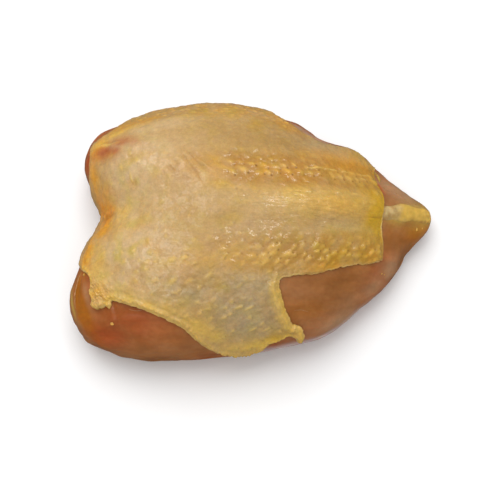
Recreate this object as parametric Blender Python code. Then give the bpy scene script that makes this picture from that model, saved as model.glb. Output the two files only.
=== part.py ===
"""A whole raw chicken breast: two lobes of flesh joined along the keel, with most of the skin still on.

Metres, +Z up. It lies on its flat underside at Z = 0. The keel runs along X, with the notch of the neck
end at -X and the tip of the keel cartilage at +X. The near lobe, at -Y, has the most bare flesh.

Every piece is laid over one form, the surface of the flesh. A place on it is a direction round the crown
and a fall: 0 degrees at the crown, 90 at the widest line and 180 at the foot. The skin and the cartilage
are drawn on a flat pattern of that surface, whose distances are nearly those along the flesh.
"""

import bpy
import numpy as np
from mathutils import Vector
from mathutils.geometry import delaunay_2d_cdt

# Where the form's own frame stands, so that the breast is centred over the origin
STANDS_AT = (-0.0034, 0.0019, 0.0)

# Plan of the flesh: the crown's place, and the distance to the widest line by direction in degrees
CROWN = (-0.008, 0.000)
TIP_PLAN = ((0, 0.1028), (5, 0.1048), (11, 0.0962), (17, 0.0874))
FAR_LOBE_PLAN = ((24, 0.0828), (30, 0.0795), (42, 0.0685), (62, 0.0650), (90, 0.0646), (112, 0.0691),
                 (132, 0.0768))
FAR_NECK_PLAN = ((147, 0.0876), (157, 0.0872), (166, 0.0771))
NECK_NOTCH_PLAN = ((176, 0.0683), (184, 0.0713))
NEAR_NECK_PLAN = ((195, 0.0818), (208, 0.0954), (219, 0.0965), (232, 0.0880))
NEAR_LOBE_PLAN = ((250, 0.0751), (270, 0.0683), (290, 0.0687), (312, 0.0754), (326, 0.0783), (338, 0.0845))
NEAR_TIP_PLAN = ((346, 0.0889), (352, 0.0919), (356, 0.0969))
PLAN = (
    TIP_PLAN + FAR_LOBE_PLAN + FAR_NECK_PLAN + NECK_NOTCH_PLAN
    + NEAR_NECK_PLAN + NEAR_LOBE_PLAN + NEAR_TIP_PLAN
)

# Section of the flesh
KEEL_LINE = ((-0.095, 0.044), (-0.075, 0.050), (-0.050, 0.055), (-0.005, 0.058),
             (0.030, 0.054), (0.065, 0.043), (0.085, 0.034), (0.097, 0.028))
WIDEST_HEIGHT = 0.017
WIDEST_HEIGHT_TIP = 0.011
TIP_TAPER = (0.030, 0.085)
SHOULDER_ROUNDNESS = 0.93
NECK_ROUNDNESS = 0.76
FOOT_SPREAD = 0.84

# Forms on the crown
NECK_VALLEY_DEPTH = 0.012
NECK_VALLEY_WIDTH = 0.011
NECK_VALLEY_START = -0.046
NECK_VALLEY_RUN = 0.036
LOBE_SWELL = 0.0025
LOBE_SWELL_CENTRE = (-0.030, 0.034)
LOBE_SWELL_SIZE = (0.040, 0.020)
KEEL_CREST = 0.0016
KEEL_CREST_WIDTH = 0.007
KEEL_BEND = 0.007
UNEVENNESS = 0.0008
UNEVENNESS_WAVES = (0.016, 0.013)

# Flat pattern: how much of the fall counts as length beyond the widest line
PATTERN_RISE = 0.55
PATTERN_STEPS = 720
NORMAL_STEP = 0.0002

# Skin
SKIN_CLEARANCE = 0.0005
SKIN_THICKNESS = 0.0018
SKIN_RIM_THICKNESS = 0.0009
SKIN_RIM_WIDTH = 0.0040
SKIN_OUTLINE_STEP = 0.0036
SKIN_GRID = 0.0044
SKIN_CUT_ACROSS_KEEL = ((0.0742, 0.0332), (0.0716, 0.0296), (0.0692, 0.0233), (0.0691, 0.0175),
                        (0.0699, 0.0121), (0.0689, -0.0043), (0.0719, -0.0141), (0.0725, -0.0225))
SKIN_NEAR_EDGE = ((0.0725, -0.0225), (0.0653, -0.0250), (0.0514, -0.0274), (0.0378, -0.0314),
                  (0.0301, -0.0338), (0.0224, -0.0342), (0.0135, -0.0367))
SKIN_FLAP_SIDE = ((0.0135, -0.0367), (0.0146, -0.0418), (0.0184, -0.0523), (0.0232, -0.0608))
SKIN_FLAP_TAB = ((0.0232, -0.0608), (0.0287, -0.0625), (0.0310, -0.0671), (0.0314, -0.0716),
                 (0.0290, -0.0716), (0.0263, -0.0688), (0.0226, -0.0678), (0.0176, -0.0712))
SKIN_FLAP_FOOT = ((0.0176, -0.0712), (0.0125, -0.0735), (0.0077, -0.0795), (-0.0052, -0.0830),
                  (-0.0150, -0.0808), (-0.0266, -0.0712), (-0.0350, -0.0611), (-0.0414, -0.0562),
                  (-0.0524, -0.0492), (-0.0653, -0.0447))
SKIN_RAGGED_CORNER = ((-0.0653, -0.0447), (-0.0664, -0.0456), (-0.0668, -0.0482), (-0.0686, -0.0496),
                      (-0.0702, -0.0484), (-0.0735, -0.0496), (-0.0776, -0.0503), (-0.0798, -0.0487),
                      (-0.0791, -0.0440), (-0.0801, -0.0400), (-0.0785, -0.0372), (-0.0792, -0.0345),
                      (-0.0825, -0.0318), (-0.0867, -0.0312))
SKIN_NECK_EDGE = ((-0.0867, -0.0312), (-0.0960, -0.0275), (-0.1030, -0.0190), (-0.1000, -0.0080),
                  (-0.0950, 0.0010), (-0.0965, 0.0100), (-0.0975, 0.0180), (-0.0935, 0.0245),
                  (-0.0890, 0.0290), (-0.0875, 0.0345), (-0.0885, 0.0402), (-0.0878, 0.0444),
                  (-0.0828, 0.0444), (-0.0768, 0.0460))
SKIN_FAR_EDGE = ((-0.0768, 0.0460), (-0.0722, 0.0500), (-0.0690, 0.0590), (-0.0580, 0.0700),
                 (-0.0400, 0.0780), (-0.0200, 0.0815), (-0.0020, 0.0790), (0.0110, 0.0705),
                 (0.0174, 0.0592), (0.0224, 0.0532), (0.0283, 0.0481), (0.0335, 0.0451),
                 (0.0388, 0.0423), (0.0442, 0.0405), (0.0503, 0.0420), (0.0600, 0.0425),
                 (0.0690, 0.0385), (0.0742, 0.0332))

# Keel cartilage, a strip from the skin's cut edge over the tip
KEEL_STRIP_LINE = ((0.0703, 0.0029), (0.0755, 0.0032), (0.0811, 0.0044), (0.0900, 0.0056), (0.1000, 0.0065),
                   (0.1180, 0.0078))
KEEL_STRIP_WIDTH = ((0.0703, 0.0088), (0.0755, 0.0092), (0.0811, 0.0106), (0.0900, 0.0106), (0.1000, 0.0108),
                    (0.1180, 0.0088))
KEEL_STRIP_HEIGHT = ((0.0703, 0.0010), (0.0755, 0.0012), (0.0811, 0.0016), (0.0900, 0.0024), (0.1000, 0.0028),
                     (0.1180, 0.0026))
KEEL_CLEARANCE = 0.0004
KEEL_RIM_THICKNESS = 0.0006
KEEL_STEPS = 18
KEEL_TIP_STEPS = 8
KEEL_GRID = 0.0022

# Flesh mesh: falls of its rings in degrees, the space between points, and the flat face it rests on
FLESH_RING_STEP = 6.5
FLESH_FOOT_RINGS = (100, 112, 125, 139, 154, 167)
FLESH_POINT_SPACE = 0.0058
REST_FACE = (0.090, 0.070)


def smooth(pairs, at, period=None):
    """The smooth curve through (place, value) pairs, read at other places."""
    knots = np.array([pair[0] for pair in pairs], float)
    values = np.array([pair[1] for pair in pairs], float)
    if period:
        at = np.mod(at, period)
        knots = np.concatenate([knots[-2:] - period, knots, knots[:2] + period])
        values = np.concatenate([values[-2:], values, values[:2]])
    steps = np.diff(knots)
    grades = np.diff(values) / steps
    inner = (grades[:-1] * steps[1:] + grades[1:] * steps[:-1]) / (steps[1:] + steps[:-1])
    slopes = np.concatenate([[grades[0]], inner, [grades[-1]]])
    piece = np.clip(np.searchsorted(knots, at, side="right") - 1, 0, len(steps) - 1)
    width = steps[piece]
    t = np.clip((at - knots[piece]) / width, 0, 1)
    start = (2 * t**3 - 3 * t**2 + 1) * values[piece] + (t**3 - 2 * t**2 + t) * width * slopes[piece]
    end = (3 * t**2 - 2 * t**3) * values[piece + 1] + (t**3 - t**2) * width * slopes[piece + 1]
    return start + end


def ease(x, low, high):
    """0 below low, 1 above high, and a smooth rise between."""
    t = np.clip((x - low) / (high - low), 0, 1)
    return t * t * (3 - 2 * t)


def hump(x, width):
    return np.exp(-((x / width) ** 2))


def plan_radius(direction):
    return smooth(PLAN, direction, 360.0)


def crown_height(x, y):
    """Height of the crown: the keel's line, the valley of the neck end, the lobes and the keel's crest."""
    neck = np.clip((NECK_VALLEY_START - x) / NECK_VALLEY_RUN, 0, 1) ** 1.4
    far_lobe = hump(y - LOBE_SWELL_CENTRE[1], LOBE_SWELL_SIZE[1])
    near_lobe = hump(y + LOBE_SWELL_CENTRE[1], LOBE_SWELL_SIZE[1])
    keel_y = KEEL_BEND * ease(x, 0.0, 0.095)
    waves = np.sin(x / UNEVENNESS_WAVES[0] + 1.0) * np.sin(y / UNEVENNESS_WAVES[1] + 2.0)
    return (
        smooth(KEEL_LINE, x)
        - NECK_VALLEY_DEPTH * hump(y, NECK_VALLEY_WIDTH) * neck
        + LOBE_SWELL * hump(x - LOBE_SWELL_CENTRE[0], LOBE_SWELL_SIZE[0]) * (far_lobe + near_lobe)
        + KEEL_CREST * hump(y - keel_y, KEEL_CREST_WIDTH) * ease(x, -0.025, 0.015)
        + UNEVENNESS * waves
    )


def flesh_point(direction, fall):
    """Points on the flesh for arrays of direction and fall, both in degrees."""
    radius = plan_radius(direction)
    along = np.cos(np.radians(direction))
    across = np.sin(np.radians(direction))
    outward = np.clip(np.sin(np.radians(fall)), 0, 1)
    upright = np.abs(np.cos(np.radians(fall)))
    roundness = SHOULDER_ROUNDNESS + (NECK_ROUNDNESS - SHOULDER_ROUNDNESS) * ease(-along, 0.1, 0.95)
    spread = np.where(fall <= 90, outward**roundness, FOOT_SPREAD + (1 - FOOT_SPREAD) * outward)
    x = CROWN[0] + radius * spread * along
    y = CROWN[1] + radius * spread * across
    taper = ease(CROWN[0] + radius * along, *TIP_TAPER)
    widest = WIDEST_HEIGHT + (WIDEST_HEIGHT_TIP - WIDEST_HEIGHT) * taper
    above = widest + (crown_height(x, y) - widest) * upright**roundness
    z = np.where(fall <= 90, above, widest * (1 - upright))
    return np.stack([x, y, z], axis=-1)


def pattern_lengths():
    """Falls in degrees, and the length of the pattern down to each, in plan radii."""
    falls = np.linspace(0, 180, PATTERN_STEPS + 1)
    turn = np.radians(falls)
    rate = np.sqrt(np.cos(turn) ** 2 + (PATTERN_RISE * np.sin(turn)) ** 2)
    middles = (rate[1:] + rate[:-1]) / 2
    return falls, np.concatenate([[0], np.cumsum(middles * np.diff(turn))])


FALLS, LENGTHS = pattern_lengths()


def pattern_point(direction, fall):
    """Where a place on the flesh lies on the flat pattern."""
    length = plan_radius(direction) * np.interp(fall, FALLS, LENGTHS)
    x = CROWN[0] + length * np.cos(np.radians(direction))
    y = CROWN[1] + length * np.sin(np.radians(direction))
    return np.stack([x, y], axis=-1)


def laid(places):
    """Points on the flesh under the places of the flat pattern."""
    away = places - np.array(CROWN)
    direction = np.degrees(np.arctan2(away[..., 1], away[..., 0]))
    length = np.hypot(away[..., 0], away[..., 1]) / plan_radius(direction)
    return flesh_point(direction, np.interp(length, LENGTHS, FALLS))


def laid_above(places, height):
    """Points that stand off the flesh by a height, square to it."""
    step_x = np.array([NORMAL_STEP, 0.0])
    step_y = np.array([0.0, NORMAL_STEP])
    run_x = laid(places + step_x) - laid(places - step_x)
    run_y = laid(places + step_y) - laid(places - step_y)
    across = np.cross(run_x, run_y)
    normal = across / np.linalg.norm(across, axis=-1, keepdims=True)
    return laid(places) + normal * np.broadcast_to(height, len(places))[:, None]


def edge_curve(corners, step):
    """Places about a step apart on a smooth curve through a stretch's corners, without its last one."""
    corners = np.array(corners)
    chords = np.linalg.norm(np.diff(corners, axis=0), axis=1)
    at = np.concatenate([[0], np.cumsum(chords)])
    count = max(2, round(at[-1] / step))
    reads = np.linspace(0, at[-1], count, endpoint=False)
    return np.stack([smooth(list(zip(at, corners[:, axis])), reads) for axis in (0, 1)], axis=-1)


def edge_distance(places, outline):
    """How far each place is from a closed outline."""
    start = outline[None]
    run = np.roll(outline, -1, axis=0)[None] - start
    to_place = places[:, None] - start
    t = np.clip((to_place * run).sum(-1) / (run * run).sum(-1), 0, 1)
    return np.linalg.norm(to_place - t[..., None] * run, axis=-1).min(axis=1)


def grid_within(outline, step, keep_off):
    """Staggered grid places inside an outline, kept off its edge."""
    low = outline.min(axis=0)
    high = outline.max(axis=0)
    rows = np.arange(low[1], high[1], step * 0.866)
    grid = []
    for number, y in enumerate(rows):
        for x in np.arange(low[0] + step / 2 * (number % 2), high[0], step):
            grid.append((x, y))
    grid = np.array(grid)
    ends = np.roll(outline, -1, axis=0)
    crosses = (outline[None, :, 1] > grid[:, None, 1]) != (ends[None, :, 1] > grid[:, None, 1])
    slope = (ends[:, 0] - outline[:, 0]) / (ends[:, 1] - outline[:, 1] + 1e-12)
    meets = outline[None, :, 0] + slope[None] * (grid[:, None, 1] - outline[None, :, 1])
    inside = (crosses & (grid[:, None, 0] < meets)).sum(axis=1) % 2 == 1
    return grid[inside & (edge_distance(grid, outline) > keep_off)]


def triangles(outline, inner):
    """Triangles, anticlockwise from above, over an outline's places, numbered first, and those inside it."""
    places = [Vector(place) for place in np.concatenate([outline, inner])]
    made = delaunay_2d_cdt(places, [], [list(range(len(outline)))], 1, 1e-9)
    spots, faces, sources = made[0], made[2], made[3]
    number = [min(source) for source in sources]
    result = []
    for face in faces:
        a, b, c = (spots[index] for index in face)
        turn = (b.x - a.x) * (c.y - a.y) - (b.y - a.y) * (c.x - a.x)
        order = face if turn > 0 else face[::-1]
        result.append(tuple(number[index] for index in order))
    return result


def layer_solid(outline, inner, bottom_height, top_height):
    """Points and faces of a layer between two heights above the flesh, closed round its outline."""
    places = np.concatenate([outline, inner])
    bottom = laid_above(places, bottom_height)
    top = laid_above(places, top_height)
    faces = triangles(outline, inner)
    count = len(places)
    anticlockwise = np.cross(outline, np.roll(outline, -1, axis=0)).sum() > 0
    solid = [tuple(index + count for index in face) for face in faces]
    solid += [face[::-1] for face in faces]
    for index in range(len(outline)):
        follower = (index + 1) % len(outline)
        side = (index, follower, follower + count, index + count)
        solid.append(side if anticlockwise else side[::-1])
    return np.concatenate([bottom, top]), solid


def food_material(name, colour, roughness, subsurface):
    material = bpy.data.materials.new(name)
    material.use_nodes = True
    shader = material.node_tree.nodes["Principled BSDF"]
    shader.inputs["Base Color"].default_value = (*colour, 1.0)
    shader.inputs["Roughness"].default_value = roughness
    shader.inputs["Metallic"].default_value = 0.0
    shader.inputs["Subsurface Weight"].default_value = subsurface
    material.diffuse_color = (*colour, 1.0)
    return material


def add_piece(name, points, faces, material, parent):
    mesh = bpy.data.meshes.new(name)
    mesh.from_pydata([tuple(point) for point in points], [], [tuple(face) for face in faces])
    mesh.validate()
    mesh.shade_smooth()
    mesh.set_sharp_from_angle(angle=np.radians(50))
    mesh.materials.append(material)
    piece = bpy.data.objects.new(name, mesh)
    piece.parent = parent
    bpy.context.scene.collection.objects.link(piece)
    return piece


def ring(fall, space):
    """Directions round the flesh at one fall, evenly spaced along its outline."""
    fine = np.linspace(0, 360, 1441)
    line = flesh_point(fine, np.full(len(fine), float(fall)))
    length = np.concatenate([[0], np.cumsum(np.linalg.norm(np.diff(line, axis=0), axis=1))])
    count = max(8, round(length[-1] / space))
    return np.interp(np.linspace(0, length[-1], count, endpoint=False), length, fine)


def make_flesh(parent):
    foot = ring(180, FLESH_POINT_SPACE)
    outline = pattern_point(foot, np.full(len(foot), 180.0))
    inner = [np.array([CROWN])]
    top_rings = np.arange(FLESH_RING_STEP, 94, FLESH_RING_STEP)
    for fall in (*top_rings, *FLESH_FOOT_RINGS):
        around = ring(fall, FLESH_POINT_SPACE)
        inner.append(pattern_point(around, np.full(len(around), float(fall))))
    inner = np.concatenate(inner)
    top_faces = triangles(outline, inner)
    points = laid(np.concatenate([outline, inner]))
    points[: len(outline), 2] = 0.0
    # The underside is flat, with one large face to rest on
    foot_points = points[: len(outline), :2]
    half = np.array(REST_FACE) / 2
    rest = np.array(CROWN) + half * np.array([(-1, -1), (1, -1), (1, 1), (-1, 1)])
    under = triangles(foot_points, rest)
    extra = np.concatenate([rest, np.zeros((4, 1))], axis=1)
    shift = len(points) - len(outline)
    bottom_faces = []
    for face in under:
        numbers = [index if index < len(outline) else index + shift for index in face]
        bottom_faces.append(tuple(numbers[::-1]))
    flesh = food_material("raw breast flesh", (0.42, 0.14, 0.055), 0.32, 0.2)
    add_piece("breast_flesh", np.concatenate([points, extra]), top_faces + bottom_faces, flesh, parent)


def make_skin(parent):
    stretches = (
        SKIN_CUT_ACROSS_KEEL, SKIN_NEAR_EDGE, SKIN_FLAP_SIDE, SKIN_FLAP_TAB,
        SKIN_FLAP_FOOT, SKIN_RAGGED_CORNER, SKIN_NECK_EDGE, SKIN_FAR_EDGE,
    )
    outline = np.concatenate([edge_curve(stretch, SKIN_OUTLINE_STEP) for stretch in stretches])
    inner = grid_within(outline, SKIN_GRID, SKIN_GRID * 0.55)
    inset = np.concatenate([np.zeros(len(outline)), edge_distance(inner, outline)])
    full = ease(inset, 0.0, SKIN_RIM_WIDTH)
    thickness = SKIN_RIM_THICKNESS + (SKIN_THICKNESS - SKIN_RIM_THICKNESS) * full
    points, faces = layer_solid(outline, inner, SKIN_CLEARANCE, SKIN_CLEARANCE + thickness)
    yellow = food_material("raw chicken skin", (0.58, 0.35, 0.12), 0.38, 0.15)
    add_piece("skin", points, faces, yellow, parent)


def make_keel(parent):
    """The strip follows its line in the pattern, with a rounded end past the tip."""
    start, end = KEEL_STRIP_LINE[0][0], KEEL_STRIP_LINE[-1][0]
    x = np.linspace(start, end, KEEL_STEPS)
    middle = smooth(KEEL_STRIP_LINE, x)
    half = smooth(KEEL_STRIP_WIDTH, x) / 2
    near_side = np.stack([x, middle - half], axis=-1)
    far_side = np.stack([x, middle + half], axis=-1)[::-1]
    turn = np.radians(np.linspace(-90, 90, KEEL_TIP_STEPS + 2)[1:-1])
    tip = np.stack([end + half[-1] * 0.45 * np.cos(turn), middle[-1] + half[-1] * np.sin(turn)], axis=-1)
    outline = np.concatenate([near_side, tip, far_side])
    inner = grid_within(outline, KEEL_GRID, KEEL_GRID * 0.5)
    places = np.concatenate([outline, inner])
    off = np.abs(places[:, 1] - smooth(KEEL_STRIP_LINE, places[:, 0]))
    arch = np.clip(1 - (off / (smooth(KEEL_STRIP_WIDTH, places[:, 0]) / 2)) ** 2, 0, 1)
    height = smooth(KEEL_STRIP_HEIGHT, places[:, 0])
    thickness = KEEL_RIM_THICKNESS + (height - KEEL_RIM_THICKNESS) * arch
    thickness[: len(outline)] = KEEL_RIM_THICKNESS
    points, faces = layer_solid(outline, inner, KEEL_CLEARANCE, KEEL_CLEARANCE + thickness)
    cream = food_material("keel cartilage and fat", (0.62, 0.42, 0.17), 0.35, 0.2)
    add_piece("keel_cartilage", points, faces, cream, parent)


def main():
    for leftover in list(bpy.data.objects):
        bpy.data.objects.remove(leftover, do_unlink=True)
    breast = bpy.data.objects.new("raw_chicken_breast", None)
    breast.location = STANDS_AT
    bpy.context.scene.collection.objects.link(breast)
    make_flesh(breast)
    make_skin(breast)
    make_keel(breast)


if __name__ == "__main__":
    main()
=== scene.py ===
"""The looks of a whole raw chicken breast, laid out as an add-on. Metres, +Z up.

The breast lies on its underside with the keel up, its neck end at -X and the keel's tip at +X. Each
piece is laid over one form, the surface of the flesh. A place on it is a direction round the crown and a
fall: 0 degrees at the crown, 90 at the widest line and 180 at the foot. Edges, relief and colours are
drawn on a flat pattern of that surface, whose distances are nearly those along the flesh.
"""

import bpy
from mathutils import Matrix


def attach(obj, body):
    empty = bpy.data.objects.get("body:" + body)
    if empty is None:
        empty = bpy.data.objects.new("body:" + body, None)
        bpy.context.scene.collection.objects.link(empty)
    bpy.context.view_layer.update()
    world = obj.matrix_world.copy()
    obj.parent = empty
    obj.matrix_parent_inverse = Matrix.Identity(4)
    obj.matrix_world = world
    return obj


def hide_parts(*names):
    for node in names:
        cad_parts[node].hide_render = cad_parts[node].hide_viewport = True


bl_info = {
    "name": "Raw Chicken Breast",
    "version": (1, 0, 0),
    "blender": (4, 5, 0),
    "location": "3D View > Sidebar > Raw Breast",
    "description": "Makes a whole raw chicken breast: flesh, skin, keel cartilage, membrane strands and fat",
    "category": "Add Mesh",
}

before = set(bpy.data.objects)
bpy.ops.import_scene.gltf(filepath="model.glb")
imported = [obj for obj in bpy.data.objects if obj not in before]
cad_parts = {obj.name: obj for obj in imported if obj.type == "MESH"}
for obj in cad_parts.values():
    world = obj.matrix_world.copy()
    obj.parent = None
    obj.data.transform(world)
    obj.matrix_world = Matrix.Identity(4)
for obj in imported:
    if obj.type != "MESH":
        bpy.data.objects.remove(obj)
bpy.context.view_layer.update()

from typing import NamedTuple

import bmesh
import bpy
import numpy as np
from bpy.props import FloatProperty, FloatVectorProperty, PointerProperty
from mathutils import Vector
from mathutils.geometry import delaunay_2d_cdt
from mathutils.kdtree import KDTree


def metres(sizes, plain=()):
    """Sizes in millimetres as metres, in rows of any depth. Plain columns, such as turns, aren't sizes."""
    return tuple(
        metres(size, plain) if isinstance(size, tuple) else size if column in plain else size / 1000
        for column, size in enumerate(sizes)
    )


def spot_rows(**finishes):
    """Soft spots by finish, as rows of (x, y, half length, half width, turn in degrees, strength)."""
    return {finish: metres(rows, plain=(4, 5)) for finish, rows in finishes.items()}


# Where the form's own frame stands, so that the breast is centred over the origin
STANDS_AT = (-0.0034, 0.0019, 0.0)

# Plan of the flesh: the crown's place, and the distance to the widest line by direction in degrees
CROWN = (-0.008, 0.000)
TIP_PLAN = ((0, 0.1028), (5, 0.1048), (11, 0.0962), (17, 0.0874))
FAR_LOBE_PLAN = ((24, 0.0828), (30, 0.0795), (42, 0.0685), (62, 0.0650), (90, 0.0646), (112, 0.0691),
                 (132, 0.0768))
FAR_NECK_PLAN = ((147, 0.0876), (157, 0.0872), (166, 0.0771))
NECK_NOTCH_PLAN = ((176, 0.0683), (184, 0.0713))
NEAR_NECK_PLAN = ((195, 0.0818), (208, 0.0954), (219, 0.0965), (232, 0.0880))
NEAR_LOBE_PLAN = ((250, 0.0751), (270, 0.0683), (290, 0.0687), (312, 0.0754), (326, 0.0783), (338, 0.0845))
NEAR_TIP_PLAN = ((346, 0.0889), (352, 0.0919), (356, 0.0969))
PLAN = (
    TIP_PLAN + FAR_LOBE_PLAN + FAR_NECK_PLAN + NECK_NOTCH_PLAN
    + NEAR_NECK_PLAN + NEAR_LOBE_PLAN + NEAR_TIP_PLAN
)

# Section of the flesh
KEEL_LINE = ((-0.095, 0.044), (-0.075, 0.050), (-0.050, 0.055), (-0.005, 0.058),
             (0.030, 0.054), (0.065, 0.043), (0.085, 0.034), (0.097, 0.028))
WIDEST_HEIGHT = 0.017
WIDEST_HEIGHT_TIP = 0.011
TIP_TAPER = (0.030, 0.085)
SHOULDER_ROUNDNESS = 0.93
NECK_ROUNDNESS = 0.76
FOOT_SPREAD = 0.84

# Forms on the crown
NECK_VALLEY_DEPTH = 0.012
NECK_VALLEY_WIDTH = 0.011
NECK_VALLEY_START = -0.046
NECK_VALLEY_RUN = 0.036
LOBE_SWELL = 0.0025
LOBE_SWELL_CENTRE = (-0.030, 0.034)
LOBE_SWELL_SIZE = (0.040, 0.020)
KEEL_CREST = 0.0016
KEEL_CREST_WIDTH = 0.007
KEEL_BEND = 0.007
UNEVENNESS = 0.0008
UNEVENNESS_WAVES = (0.016, 0.013)

# Flat pattern: how much a steep part of the fall counts as length, and how many steps grids keep off edges
PATTERN_RISE = 0.55
PATTERN_STEPS = 720
KEPT_OFF = 0.6
NORMAL_STEP = 0.0002

# Edge of the skin on the pattern. Each stretch runs to the first corner of the next one.
SKIN_CUT_ACROSS_KEEL = metres((
    (74.2, 33.2), (71.6, 29.6), (69.2, 23.3), (69.1, 17.5), (69.9, 12.1), (68.9, -4.3), (71.9, -14.1),
))
SKIN_NEAR_EDGE = metres((
    (72.5, -22.5), (65.3, -25), (51.4, -27.4), (37.8, -31.4), (30.1, -33.8), (22.4, -34.2),
))
SKIN_FLAP_SIDE = metres(((13.5, -36.7), (14.6, -41.8), (18.4, -52.3)))
SKIN_FLAP_TAB = metres((
    (23.2, -60.8), (28.7, -62.5), (31, -67.1), (31.4, -71.6), (29, -71.6), (26.3, -68.8), (22.6, -67.8),
))
SKIN_FLAP_FOOT = metres((
    (17.6, -71.2), (12.5, -73.5), (7.7, -79.5), (-5.2, -83), (-15, -80.8), (-26.6, -71.2), (-35, -61.1),
    (-41.4, -56.2), (-52.4, -49.2),
))
SKIN_RAGGED_CORNER = metres((
    (-65.3, -44.7), (-66.4, -45.6), (-66.8, -48.2), (-68.6, -49.6), (-70.2, -48.4), (-73.5, -49.6),
    (-77.6, -50.3), (-79.8, -48.7), (-79.1, -44), (-80.1, -40), (-78.5, -37.2), (-79.2, -34.5),
    (-82.5, -31.8),
))
SKIN_NECK_EDGE = metres((
    (-86.7, -31.2), (-96, -27.5), (-103, -19), (-100, -8), (-95, 1), (-96.5, 10), (-97.5, 18),
    (-93.5, 24.5), (-89, 29), (-87.5, 34.5), (-88.5, 40.2), (-87.8, 44.4), (-82.8, 44.4),
))
SKIN_FAR_EDGE = metres((
    (-76.8, 46), (-72.2, 50), (-69, 59), (-58, 70), (-40, 78), (-20, 81.5), (-2, 79), (11, 70.5),
    (17.4, 59.2), (22.4, 53.2), (28.3, 48.1), (33.5, 45.1), (38.8, 42.3), (44.2, 40.5), (50.3, 42),
    (60, 42.5), (69, 38.5),
))

# How each stretch of the edge is finished: (corners, raggedness, how lumpy its bead is, the rim's thickness,
# the rolled bead's height, its distance in from the edge, how fat the rim is)
SKIN_EDGES = (
    (SKIN_CUT_ACROSS_KEEL, 0.00010, 0.10, 0.0015, 0.00010, 0.0010, 0.00),
    (SKIN_NEAR_EDGE, 0.00035, 0.10, 0.0013, 0.00014, 0.0013, 0.12),
    (SKIN_FLAP_SIDE, 0.00025, 0.08, 0.0014, 0.00120, 0.0031, 0.70),
    (SKIN_FLAP_TAB, 0.00035, 0.15, 0.0012, 0.00050, 0.0016, 0.70),
    (SKIN_FLAP_FOOT, 0.00035, 0.30, 0.0014, 0.00075, 0.0022, 0.80),
    (SKIN_RAGGED_CORNER, 0.00030, 0.45, 0.0014, 0.00060, 0.0018, 0.80),
    (SKIN_NECK_EDGE, 0.00020, 0.15, 0.0010, 0.00030, 0.0016, 0.10),
    (SKIN_FAR_EDGE, 0.00020, 0.15, 0.0008, 0.00025, 0.0016, 0.10),
)
SKIN_OUTLINE_STEP = 0.0005
SKIN_UNDER_STEP = 0.0030
SKIN_SUNK = 0.0003
SKIN_RIM_WIDTH = 0.0040
RIM_STRIPE = 0.0017
EDGE_INSETS = (0.00028, 0.00065)
EDGE_INSET_SHARES = (0.55, 0.86, 1.0)
EDGE_BLEND = 0.0040
EDGE_WAVES = ((0.6, 0.0045, 11), (0.4, 0.0018, 12))
BEAD_WAVES = ((1.0, 0.0060, 34), (1.1, 0.0024, 35))
BEAD_WIDTH = 0.62
FURROW_PLACE = 2.3
FURROW_WIDTH = 0.5
FURROW_DEPTH = 0.30

# Cut edge of the skin, pale with a painted highlight along it: how far in it shows, where along X it grows
# stronger, its strength before and after that, and its strength on the underside
CUT_REACH = (0.0003, 0.0011)
CUT_RUN = (0.0600, 0.0680)
CUT_SHOWS = (0.80, 1.30)
CUT_UNDER = 0.7

# Tab of the flap, which lifts off the flesh
TAB_PLACE = (0.0300, -0.0695)
TAB_REACH = 0.0060
TAB_LIFT = 0.0016


class Tract(NamedTuple):
    """A feather tract on the pattern."""

    line: tuple  # the line through it
    rows: tuple  # its rows of bumps, as (distance from the line, strength)
    turn: float  # the turn of its bumps in degrees
    large: float  # how large they are
    height: float  # how high they are
    pits: float  # how dark the painted shade in their pits is
    start: float  # where along X it starts
    grown: float  # where along X its bumps have their full height
    end: float  # where along X it ends
    late: float  # how high its bumps are towards its end, against those at its start
    half_width: float  # how far the painted shade of its ground reaches from the line
    seed: int


FAR_TRACT = Tract(
    line=metres(((-36, 18), (-10, 16.5), (10, 16), (29, 18), (50, 19.5), (74, 21.5))),
    rows=metres(((-11.8, 0.5), (-6.4, 0.25), (-2.2, 1), (1.6, 0.9), (5.6, 0.4), (10, 0.25)), plain=(1,)),
    turn=-34, large=1.05, height=1.55, pits=0.90,
    start=-0.020, grown=-0.006, end=0.071, late=0.60, half_width=0.0095, seed=31,
)
NEAR_TRACT = Tract(
    line=metres((
        (-44, -19.5), (-30, -22.5), (-10, -25), (10, -24.5), (29, -22.5), (45, -19.5), (74, -17.5),
    )),
    rows=metres(((-7.6, 0.4), (-4, 0.8), (-0.4, 1), (3.3, 0.75), (7, 0.45)), plain=(1,)),
    turn=36, large=1.08, height=1.62, pits=0.55,
    start=-0.034, grown=0.010, end=0.071, late=0.75, half_width=0.0095, seed=32,
)
TOP_TRACT = Tract(
    line=metres(((-78, 44), (-66, 49), (-52, 53), (-37, 54.5), (-16, 56), (4, 56), (14, 52), (30, 43))),
    rows=metres(((-7, 0.5), (-3, 0.8), (1, 1), (5, 0.9), (8.8, 0.6)), plain=(1,)),
    turn=-20, large=0.72, height=0.90, pits=0.40,
    start=-0.080, grown=-0.070, end=0.028, late=0.90, half_width=0.0080, seed=36,
)
TRACTS = (FAR_TRACT, NEAR_TRACT, TOP_TRACT)
TRACT_NARROWS = 0.20  # how much closer together the rows are at the tip
TRACT_FADES = 0.006  # how far past its end a tract's ground fades out
TRACT_DRIFT = (0.0008, 0.0006)  # how unevenly bumps stand along and across their row
HEAD_SHARE = 0.75  # a bump's reach ahead of its middle, in half lengths
TAIL_SHARE = 1.25  # its reach behind it

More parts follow.
